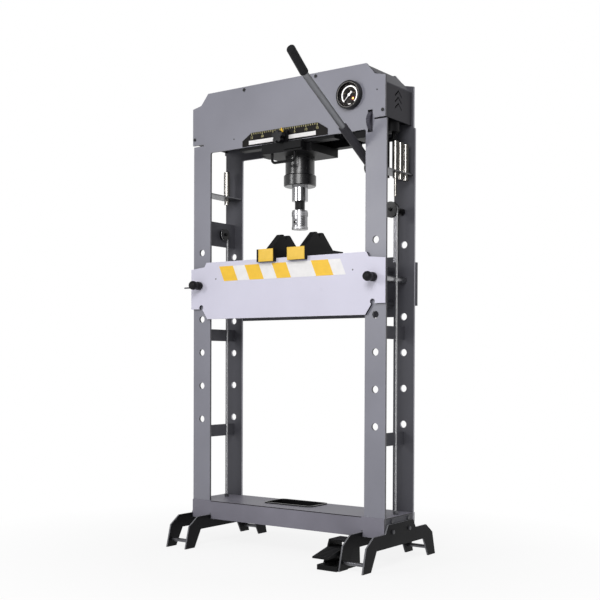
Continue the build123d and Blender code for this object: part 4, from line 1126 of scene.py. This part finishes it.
@dataclass
class PressureGauge(SubAssembly):
    """The dial gauge on the head beam."""

    arc_inner: float = 29 * MM
    arc_outer: float = 33 * MM
    start: float = -135.0
    sweep: float = 275.0
    divisions: int = 40
    long_every: int = 10
    long_factor: float = 1.6
    tick_length: float = 2.4 * MM
    tick_half: float = 0.3 * MM
    number_count: int = 5
    number_step: int = 10
    number_radius: float = 21 * MM
    number_height: float = 4 * MM
    film: float = 0.3 * MM
    dot_radius: float = 3.8 * MM
    halo_radius: float = 6.5 * MM
    dot_place: tuple[float, float] = (15 * MM, -13 * MM)
    dot_crown: tuple[float, float] = (1.3, 0.9)
    dot_facets: int = 24
    bar_half: tuple[float, float] = (5 * MM, 1.5 * MM)
    bar_drop: float = 31 * MM
    # Radii of the painted highlight ring at the bezel's inner edge
    ring_inner: float = 42.95 * MM
    ring_outer: float = 43.85 * MM
    ring_facets: int = 72

    def dress(self) -> None:
        """Finish case, dial, needle and pane."""
        paint(Paintwork.PLASTIC, ("gauge_case",))
        paint(Paintwork.DIAL, ("gauge_dial",))
        paint(Paintwork.WHITE, ("gauge_needle",))
        paint(Paintwork.GLASS, ("gauge_glass",))

    def turn(self, index: int, count: int) -> float:
        """Give the angle of one of several even divisions, in radians."""
        return math.radians(self.start + self.sweep * index / count)

    def print_arc(self, centre: Matrix) -> None:
        """Print the broad arc and the bar below it.

        Args:
            centre: Place of the dial's centre.
        """
        half, tall = self.bar_half
        arc = Bench.arc("gauge_arc", self.arc_inner, self.arc_outer, self.start, self.sweep, self.film)
        bar = Bench.block("gauge_bar", (-half, 0.0, -self.bar_drop - tall),
                          (half, self.film, -self.bar_drop + tall), self.film / 4)
        marks = Bench.join("gauge_print", [arc, bar])
        Bench.hand_over(Bench.move(marks, centre), Paintwork.WHITE, "frame", "white")

    def print_divisions(self, centre: Matrix) -> None:
        """Print the fine divisions and the numbers inside the arc.

        Args:
            centre: Place of the dial's centre.
        """
        fine = []
        for index in range(self.divisions + 1):
            length = self.tick_length * (self.long_factor if index % self.long_every == 0 else 1.0)
            tick = Bench.block(f"gauge_tick_{index}", (-self.tick_half, 0.0, self.arc_inner - length),
                               (self.tick_half, self.film, self.arc_inner), self.film / 4)
            fine.append(Bench.move(tick, Matrix.Rotation(self.turn(index, self.divisions), 4, "Y")))
        for index in range(self.number_count):
            turn = self.turn(index, self.number_count - 1)
            place = (self.number_radius * math.sin(turn), self.film / 2, self.number_radius * math.cos(turn))
            fine.append(Bench.lettering(f"gauge_number_{index}", str(index * self.number_step),
                                        self.number_height, self.film, facing_front(place)))
        marks = Bench.join("gauge_divisions", fine)
        Bench.hand_over(Bench.move(marks, centre), Paintwork.DIM_INK, "frame", "white")

    def print_dot(self, centre: Matrix) -> None:
        """Print the bright dot and the red halo behind it.

        Args:
            centre: Place of the dial's centre.
        """
        across, up = self.dot_place
        rise, share = self.dot_crown
        for name, radius, lift, finish in (("gauge_halo", self.halo_radius, 0.0, Paintwork.RED_INK),
                                           ("gauge_mark", self.dot_radius, self.film, Paintwork.SPOT_INK)):
            profile = ((0.0, radius), (self.film, radius), (self.film * rise, radius * share))
            dot = Bench.turned(name, profile, self.dot_facets)
            place = centre @ facing_front((across, self.film - lift, up))
            Bench.hand_over(Bench.move(dot, place), finish, "frame", "yellow")

    def build(self) -> None:
        """Print the dial, and set a light ring in the bezel as a painted highlight on its inner edge."""
        low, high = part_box("gauge_dial")
        centre = Matrix.Translation(((low.x + high.x) / 2, low.y - self.film, (low.z + high.z) / 2))
        self.print_arc(centre)
        self.print_divisions(centre)
        self.print_dot(centre)
        pane = Matrix.Translation((0.0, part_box("gauge_glass")[0].y - low.y, 0.0))
        # Painted highlight: a light-grey ring at the bezel's inner edge
        ring = Bench.arc("gauge_highlight_ring", self.ring_inner, self.ring_outer, 0.0, 360.0, self.film,
                         self.ring_facets)
        Bench.hand_over(Bench.move(ring, pane @ centre), Paintwork.RIM_HIGHLIGHT, "frame", "bright_steel")


@dataclass
class RamHead(SubAssembly):
    """The carriage, the cylinder and the ram with its press head."""

    thread_depth: float = 0.4 * MM
    thread_pitch: float = 2.5 * MM
    thread_facets: int = 40
    band_drop: float = 6 * MM
    band_height: float = 15 * MM
    band_rows: int = 9
    band_facets: int = 96
    band_proud: float = 0.5 * MM
    knurl_depth: float = 0.7 * MM
    rim_height: float = 9 * MM
    rim_edge: float = 1.2 * MM
    screw_rise: float = 26 * MM
    screw_reach: float = 27 * MM
    screw_turn: float = -10.0
    screw_facets: int = 24
    collar_profile: Profile = ((0.0, 8.0 * MM), (0.8 * MM, 8.0 * MM), (1.2 * MM, 7.6 * MM),
                               (1.2 * MM, 5.0 * MM), (0.3 * MM, 4.8 * MM))
    screw_profile: Profile = ((0.1 * MM, 4.7 * MM), (0.9 * MM, 4.7 * MM), (1.1 * MM, 4.4 * MM),
                              (1.1 * MM, 2.6 * MM), (0.4 * MM, 2.4 * MM))
    thread_angle: float = 20.0
    knurl_angle: float = 10.0
    rim_angle: float = 20.0

    def dress(self) -> None:
        """Finish the carriage and the bright ram."""
        paint(Paintwork.BLACK, ("carriage_plate", "carriage_keeper", "clamp_block", "carriage_handle"))
        paint(Paintwork.GLOSS, ("cylinder_barrel", "cylinder_gland"))
        paint(Paintwork.PLASTIC, ("clamp_knob",))
        paint(Paintwork.YELLOW, ("scale_pointer",))
        paint(Paintwork.CHROME, ("piston_rod",))
        paint(Paintwork.GROUND, ("press_head",))

    def cut_thread(self, middle: Matrix) -> None:
        """Turn the threaded stud in place of the plain one.

        Args:
            middle: Place of the ram's axis.
        """
        low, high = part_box("ram_stud")
        crest = (high.x - low.x) / 2
        root = crest - self.thread_depth
        turns = int((high.z - low.z) / self.thread_pitch)
        step = (high.z - low.z) / turns
        profile = []
        for turn in range(turns):
            profile += [(low.z + turn * step, root), (low.z + (turn + 0.5) * step, crest)]
        profile.append((high.z, root))
        stud = Bench.move(Bench.turned("threaded_stud", profile, self.thread_facets), middle)
        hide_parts("ram_stud")
        Bench.hand_over(stud, Paintwork.IRON, "ram", "black_iron", self.thread_angle)

    def knurl_band(self, top: float, radius: float, middle: Matrix) -> None:
        """Turn the head's upper band and press the knurl into it.

        Args:
            top: Z of the head's top.
            radius: Radius of the band.
            middle: Place of the ram's axis.
        """
        bottom = top - self.band_drop - self.band_height
        rows = [bottom + self.band_height * row / self.band_rows for row in range(self.band_rows + 1)]
        inner = radius - 2 * self.band_proud
        profile = [(rows[0], inner), *((row, radius) for row in rows), (rows[-1], inner)]
        band = Bench.turned("knurled_band", profile, self.band_facets)

        def hollow(point: Vector) -> bool:
            """Take every other vertex, shifted from row to row."""
            row = round((point.z - rows[0]) / (rows[1] - rows[0]))
            facet = round(math.atan2(point.y, point.x) * self.band_facets / (2 * math.pi))
            return (row + facet) % 2 == 0

        Bench.pinch(band, hollow, 1 - self.knurl_depth / radius)
        Bench.hand_over(Bench.move(band, middle), Paintwork.SATIN, "ram", "bright_steel", self.knurl_angle)

    def close_head(self, bottom: float, radius: float, middle: Matrix) -> None:
        """Turn the head's lower rim and fit the set screw with its collar.

        Args:
            bottom: Z of the head's lower face.
            radius: Radius of the rim.
            middle: Place of the ram's axis.
        """
        inner = radius - 2 * self.band_proud
        foot = bottom + self.band_proud
        top = bottom + self.rim_height
        profile = ((foot, inner), (foot, radius - self.band_proud), (foot + self.rim_edge, radius),
                   (top, radius), (top + self.rim_edge, inner))
        rim = Bench.move(Bench.turned("head_rim", profile, self.band_facets), middle)
        Bench.hand_over(rim, Paintwork.SATIN, "ram", "bright_steel", self.rim_angle)
        turn = Matrix.Rotation(math.radians(self.screw_turn), 4, "Z")
        place = middle @ turn @ facing_front((0.0, -self.screw_reach, bottom + self.screw_rise))
        collar = Bench.move(Bench.turned("screw_collar", self.collar_profile, self.screw_facets), place)
        Bench.hand_over(collar, Paintwork.CHROME, "ram", "bright_steel")
        screw = Bench.move(Bench.turned("set_screw", self.screw_profile, self.screw_facets), place)
        Bench.hand_over(screw, Paintwork.DIAL, "ram", "black_iron")

    def build(self) -> None:
        """Cut the stud's thread, and finish the head with its band, rim and screw."""
        low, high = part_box("ram_stud")
        middle = Matrix.Translation(((low.x + high.x) / 2, (low.y + high.y) / 2, 0.0))
        self.cut_thread(middle)
        low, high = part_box("press_head")
        radius = (high.x - low.x) / 2 + self.band_proud
        self.knurl_band(high.z, radius, middle)
        self.close_head(low.z, radius, middle)


@dataclass
class PumpGear(SubAssembly):
    """The pump, its lever and the release wheel."""

    grip_start: tuple[float, float, float] = (325 * MM, -295.1 * MM, 1648.2 * MM)
    grip_angle: float = 38.0
    grip_length: float = 106 * MM
    grip_radius: float = 15 * MM
    grip_facets: int = 40
    grip_edge: float = 0.4 * MM
    # Steps of the grip's mouth, a groove and the tip: place along it and change of radius
    mouth: Profile = ((0.0, -3 * MM), (1.5 * MM, -1 * MM), (4 * MM, 0.0), (9 * MM, 0.0))
    groove: Profile = ((0.0, 0.0), (1 * MM, -0.7 * MM), (2 * MM, -0.7 * MM), (3 * MM, 0.0))
    tip: Profile = ((-8 * MM, 0.0), (-4 * MM, -1.2 * MM), (-1.5 * MM, -4 * MM), (0.0, -8 * MM))
    groove_start: float = 12 * MM
    groove_pitch: float = 7 * MM
    groove_count: int = 11
    slant: float = 23.0
    slant_back: float = 6 * MM
    spindle_radius: float = 5 * MM
    wheel_thickness: float = 14 * MM
    # Steps of the wheel's back and face, from its rim, and of its hub, from its axis
    wheel_back: Profile = ((0.0, -3 * MM), (1.5 * MM, 0.0))
    wheel_face: Profile = ((-1.5 * MM, 0.0), (0.0, -2 * MM), (0.0, -7 * MM), (-2.5 * MM, -9 * MM))
    wheel_hub: Profile = ((-2.5 * MM, 9 * MM), (-0.5 * MM, 8 * MM), (-0.5 * MM, 2 * MM))
    lobe_count: int = 30
    lobe_facets: int = 4
    lobe_band: float = 2.5 * MM
    lobe_depth: float = 1.8 * MM

    def dress(self) -> None:
        """Finish pump, reservoir and lever."""
        paint(Paintwork.BLACK, ("pump_block", "oil_reservoir"))
        paint(Paintwork.PANEL, ("lever_socket",))
        paint(Paintwork.TUBE, ("lever_tube",))

    def mould_grip(self) -> None:
        """Mould the grooved rubber grip with its slanted end."""
        steps = list(self.mouth)
        for index in range(self.groove_count):
            low = self.groove_start + index * self.groove_pitch
            steps += [(low + along, drop) for along, drop in self.groove]
        steps += [(self.grip_length + along, drop) for along, drop in self.tip]
        profile = [(along, self.grip_radius + drop) for along, drop in steps]
        grip = Bench.turned("moulded_grip", profile, self.grip_facets)
        Bench.pick(grip, lambda point: True)
        slant = math.radians(self.slant)
        bpy.ops.mesh.bisect(plane_co=(0.0, 0.0, self.grip_length - self.slant_back),
                            plane_no=(0.0, -math.sin(slant), math.cos(slant)), use_fill=True,
                            clear_outer=True)
        bpy.ops.object.mode_set(mode="OBJECT")
        Bench.bevel(grip, self.grip_edge, 1)
        lean = Matrix.Rotation(math.radians(90.0 - self.grip_angle), 4, "X")
        Bench.move(grip, Matrix.Translation(self.grip_start) @ lean)
        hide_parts("lever_grip")
        Bench.hand_over(grip, Paintwork.RUBBER, "pump_lever", "rubber")

    def turn_wheel(self) -> None:
        """Turn the release wheel with its lobed rim and dished face."""
        low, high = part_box("release_wheel")
        radius = (high.z - low.z) / 2
        length = high.x - low.x
        back = length - self.wheel_thickness
        facets = self.lobe_facets * self.lobe_count
        profile = [(0.0, self.spindle_radius), (back, self.spindle_radius)]
        profile += [(back + along, radius + drop) for along, drop in self.wheel_back]
        profile += [(length + along, radius + drop) for along, drop in self.wheel_face]
        profile += [(length + along, hub) for along, hub in self.wheel_hub]
        wheel = Bench.turned("lobed_wheel", profile, facets)

        def valley(point: Vector) -> bool:
            """Take the rim's vertices between two lobes."""
            facet = round(math.atan2(point.y, point.x) * facets / (2 * math.pi))
            return math.hypot(point.x, point.y) > radius - self.lobe_band and facet % self.lobe_facets == 0

        Bench.pinch(wheel, valley, 1 - self.lobe_depth / radius)
        place = Matrix.Translation((low.x, (low.y + high.y) / 2, (low.z + high.z) / 2))
        Bench.move(wheel, place @ Matrix.Rotation(math.pi / 2, 4, "Y"))
        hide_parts("release_wheel")
        Bench.hand_over(wheel, Paintwork.WHEEL, "release_wheel", "black_plastic")

    def build(self) -> None:
        """Make the lever's grip and the release wheel."""
        self.mould_grip()
        self.turn_wheel()


@dataclass
class BedTools(SubAssembly):
    """The bed pins and the V-blocks."""

    margin: float = 2.2 * MM
    left_border: float = 10 * MM
    cap_thickness: float = 3 * MM
    cap_edge: float = 0.8 * MM
    field_inset: float = 9 * MM
    field_depth: float = 0.3 * MM
    touch: float = 0.01 * MM
    clip_profile: Profile = ((0.0, 3.0 * MM), (36 * MM, 3.0 * MM), (38 * MM, 2.4 * MM), (39 * MM, 1.2 * MM))
    clip_back: float = 9 * MM
    clip_drop: float = 10 * MM

    def dress(self) -> None:
        """Finish pins and blocks."""
        paint(Paintwork.GROUND, ("bed_pin_left", "bed_pin_right"))
        paint(Paintwork.RUBBER, ("bed_pin_grip_left", "bed_pin_grip_right"))
        paint(Paintwork.BLACK, ("vblock_left", "vblock_right"))

    def cap_nose(self, side: str, border: float) -> None:
        """Cap a block's nose in yellow, with a sunk blank field.

        Args:
            side: Which block.
            border: How far the cap's left end stands back.
        """
        low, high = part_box(f"vblock_face_{side}")
        front = high.y - self.cap_thickness
        cap = Bench.block(f"vblock_cap_{side}", (low.x - self.margin + border, front, low.z - self.margin),
                          (high.x + self.margin, high.y, high.z + self.margin), self.cap_edge)
        Bench.pick(cap, lambda point: point.y < front + self.touch)
        bpy.ops.mesh.select_mode(type="FACE")
        bpy.ops.mesh.inset(thickness=self.field_inset)
        bpy.ops.mesh.inset(thickness=self.field_depth, depth=-self.field_depth)
        bpy.ops.object.mode_set(mode="OBJECT")
        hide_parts(f"vblock_face_{side}")
        Bench.hand_over(cap, Paintwork.CAP, f"vblock_{side}", "yellow")

    def build(self) -> None:
        """Cap the blocks' noses, and clip a wire on the left pin."""
        self.cap_nose("left", self.left_border)
        self.cap_nose("right", 0.0)
        low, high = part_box("bed_pin_grip_left")
        clip = Bench.turned("pin_wire_clip", self.clip_profile, Bench.SMALL_FACETS)
        place = ((low.x + high.x) / 2, low.y + self.clip_back, (low.z + high.z) / 2 - self.clip_drop)
        Bench.move(clip, Matrix.Translation(place) @ Matrix.Rotation(-math.pi / 2, 4, "Y"))
        Bench.hand_over(clip, Paintwork.ZINC, "pin_left", "steel")


@dataclass
class LiftGear(SubAssembly):
    """The tool shelves with their mandrels, and the lifting ropes with their wheels."""

    rope_radius: float = 3 * MM
    rope_colour: Colour = ink(236, 236, 238)
    rope_roughness: float = 0.45

    def dress(self) -> None:
        """Finish shelves, mandrels, wheels and ropes."""
        paint(Paintwork.ZINC, ("tool_shelf_left", "tool_shelf_right", "rope_fittings"))
        paint(Paintwork.BLACK, ("rope_axles",))
        paint(Paintwork.TURNED, ("mandrels",))
        paint(Paintwork.CHARCOAL, ("rope_plate",))
        paint(Paintwork.PLASTIC, ("rope_wheels",))
        for name in ("rope_left", "rope_right"):
            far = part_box(name)[1]
            paint(WireRope(f"{name}_wire", self.rope_colour, self.rope_roughness,
                           axis_x=far.x - self.rope_radius, axis_y=far.y - self.rope_radius), (name,))


@dataclass
class FootPedal(SubAssembly):
    """The floor pedal with its hood."""

    rib_count: int = 8
    rib_width: float = 4 * MM
    rib_height: float = 1.6 * MM
    rib_sink: float = 0.3 * MM
    rib_edge: float = 0.7 * MM
    rib_margin: float = 5 * MM
    slope_run: float = 87 * MM
    slope_drop: float = 20 * MM

    def dress(self) -> None:
        """Finish the pedal."""
        paint(Paintwork.BLACK, ("pedal_base", "treadle"))

    def build(self) -> None:
        """Mould the treadle's tread ribs on its sloping top."""
        low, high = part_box("treadle")
        slope = math.atan2(self.slope_drop, self.slope_run)
        tip = Matrix.Translation((0.0, low.y, high.z - self.slope_drop)) @ Matrix.Rotation(slope, 4, "X")
        pattern = Bench.block("tread_rib", (low.x + self.rib_margin, 0.0, -self.rib_sink),
                              (high.x - self.rib_margin, self.rib_width, self.rib_height), self.rib_edge)
        run = math.hypot(self.slope_run, self.slope_drop) - 2 * self.rib_margin
        step = (run - self.rib_width) / (self.rib_count - 1)
        ribs = []
        for index in range(self.rib_count):
            along = Matrix.Translation((0.0, self.rib_margin + index * step, 0.0))
            ribs.append(Bench.copy(pattern, tip @ along))
        bpy.data.objects.remove(pattern)
        Bench.hand_over(Bench.join("tread_ribs", ribs), Paintwork.RUBBER, "treadle", "rubber")


@dataclass(frozen=True)
class Lamp:
    """A soft square lamp, with its power in watts and its side in metres."""

    name: str
    power: float
    size: float
    place: tuple[float, float, float]
    target: tuple[float, float, float]

    def hang(self) -> None:
        """Hang the lamp and turn it to its target."""
        light = bpy.data.lights.new(self.name, "AREA")
        light.energy = self.power
        light.size = self.size
        holder = bpy.data.objects.new(self.name, light)
        bpy.context.collection.objects.link(holder)
        holder.location = self.place
        holder.rotation_euler = (Vector(self.target) - Vector(self.place)).to_track_quat("-Z", "Y").to_euler()
        log.info("lamp %s", self.name)


@dataclass
class Studio:
    """The pale floor, the soft light and the camera."""

    white: Colour = (1.0, 1.0, 1.0, 1.0)
    floor_size: float = 40.0
    floor_colour: Colour = (0.88, 0.88, 0.88, 1.0)
    floor_roughness: float = 0.9
    floor_share: float = 0.86
    floor_fade: tuple[float, float] = (0.5, 1.5)
    camera_place: tuple[float, float, float] = (2.2783, -3.0321, 0.7098)
    camera_turn: float = 35.71
    camera_drop: float = 0.853
    camera_roll: float = 0.212
    lens: float = 61.94
    sensor: float = 36.0
    shift: float = 0.1297
    lamps: tuple[Lamp, ...] = (Lamp("key_lamp", 47.0, 1.3, (1.25, -2.45, 2.3), (0.1, 0.0, 1.0)),
                               Lamp("sheen_lamp", 22.0, 0.7, (-1.5, -3.0, 1.75), (0.4, 0.0, 1.2)))
    world_level: float = 0.34
    # What glossy metal sees of the room: dim in front, bright behind, dark to the right
    front_level: float = 0.5
    back_level: float = 0.8
    side_level: float = 0.2
    front_to_back: tuple[float, float] = (-0.45, 0.1)
    right_side: tuple[float, float] = (0.7, 0.9)

    def white_share(self, graph: Graph) -> Socket:
        """Say which rays see the plain white of the floor.

        Args:
            graph: The floor material's graph.

        Returns:
            A socket that is 1 for camera, glossy and transmission rays.
        """
        path = graph.add("ShaderNodeLightPath")
        seen = graph.math("MAXIMUM", path.outputs["Is Camera Ray"], path.outputs["Is Glossy Ray"])
        return graph.math("MAXIMUM", seen, path.outputs["Is Transmission Ray"])

    def lay_floor(self) -> None:
        """Lay the floor, white with the object's shadow near it."""
        Bench.clear()
        bpy.ops.mesh.primitive_plane_add(size=self.floor_size, location=(0.0, 0.0, 0.0))
        floor = bpy.context.object
        floor.name = "studio_floor"
        material = bpy.data.materials.new("studio_floor_finish")
        material.use_nodes = True
        graph = Graph(material.node_tree)
        shader = material.node_tree.nodes["Principled BSDF"]
        shader.inputs["Base Color"].default_value = self.floor_colour
        shader.inputs["Roughness"].default_value = self.floor_roughness
        glow = graph.add("ShaderNodeEmission")
        glow.inputs["Color"].default_value = self.white
        reach = graph.add("ShaderNodeVectorMath", operation="LENGTH")
        graph.feed(reach.inputs[0], graph.place())
        fade = graph.span(reach.outputs["Value"], self.floor_share, 1.0, *self.floor_fade)
        share = graph.math("MULTIPLY", self.white_share(graph), fade)
        graph.show(share, shader.outputs[0], glow.outputs[0])
        floor.data.materials.append(material)
        log.info("floor laid")

    @staticmethod
    def blend(graph: Graph, share: Feed, low: Feed, high: Feed) -> Socket:
        """Go from one level to another.

        Args:
            graph: The graph of the world.
            share: How far to go, from 0 to 1.
            low: The level at 0.
            high: The level at 1.

        Returns:
            The level's socket.
        """
        rest = graph.math("MULTIPLY", graph.math("SUBTRACT", 1.0, share), low)
        return graph.math("ADD", rest, graph.math("MULTIPLY", share, high))

    def light_world(self) -> None:
        """Light the studio evenly, with a white backdrop and a dimmer room in front of the object."""
        world = bpy.data.worlds.new("studio_world")
        world.use_nodes = True
        bpy.context.scene.world = world
        graph = Graph(world.node_tree)
        sky = world.node_tree.nodes["Background"]
        sky.inputs["Color"].default_value = self.white
        direction = graph.add("ShaderNodeSeparateXYZ")
        graph.feed(direction.inputs[0], graph.add("ShaderNodeTexCoord").outputs["Generated"])
        room = graph.span(direction.outputs[1], self.front_level, self.back_level, *self.front_to_back)
        dark = graph.span(direction.outputs[0], 1.0, self.side_level, *self.right_side)
        path = graph.add("ShaderNodeLightPath")
        level = self.blend(graph, path.outputs["Is Glossy Ray"], self.world_level,
                           graph.math("MULTIPLY", room, dark))
        graph.feed(sky.inputs["Strength"], self.blend(graph, path.outputs["Is Camera Ray"], level, 1.0))
        log.info("world lit")

    def set_camera(self) -> None:
        """Stand the camera where the photograph was taken."""
        camera = bpy.data.cameras.new("studio_camera")
        camera.sensor_width = self.sensor
        camera.lens = self.lens
        camera.shift_y = self.shift
        holder = bpy.data.objects.new("studio_camera", camera)
        bpy.context.collection.objects.link(holder)
        turn = Matrix.Rotation(math.radians(self.camera_turn), 4, "Z")
        tilt = Matrix.Rotation(math.radians(90.0 - self.camera_drop), 4, "X")
        roll = Matrix.Rotation(math.radians(self.camera_roll), 4, "Z")
        holder.matrix_world = Matrix.Translation(self.camera_place) @ turn @ tilt @ roll
        bpy.context.scene.camera = holder
        log.info("camera set")

    def build(self) -> None:
        """Set up the whole studio."""
        bpy.context.scene.view_settings.view_transform = "Standard"
        self.lay_floor()
        self.light_world()
        for lamp in self.lamps:
            lamp.hang()
        self.set_camera()


def main() -> None:
    """Dress the press and set up its studio."""
    logging.basicConfig(level=logging.INFO, format="%(name)s: %(message)s")
    assemblies = (PortalFrame(), FloorBase(), PressBed(), StrokeScale(), PressureGauge(), RamHead(),
                  PumpGear(), BedTools(), LiftGear(), FootPedal())
    for assembly in assemblies:
        assembly.dress()
        assembly.build()
    Studio().build()


if __name__ == "__main__":
    main()
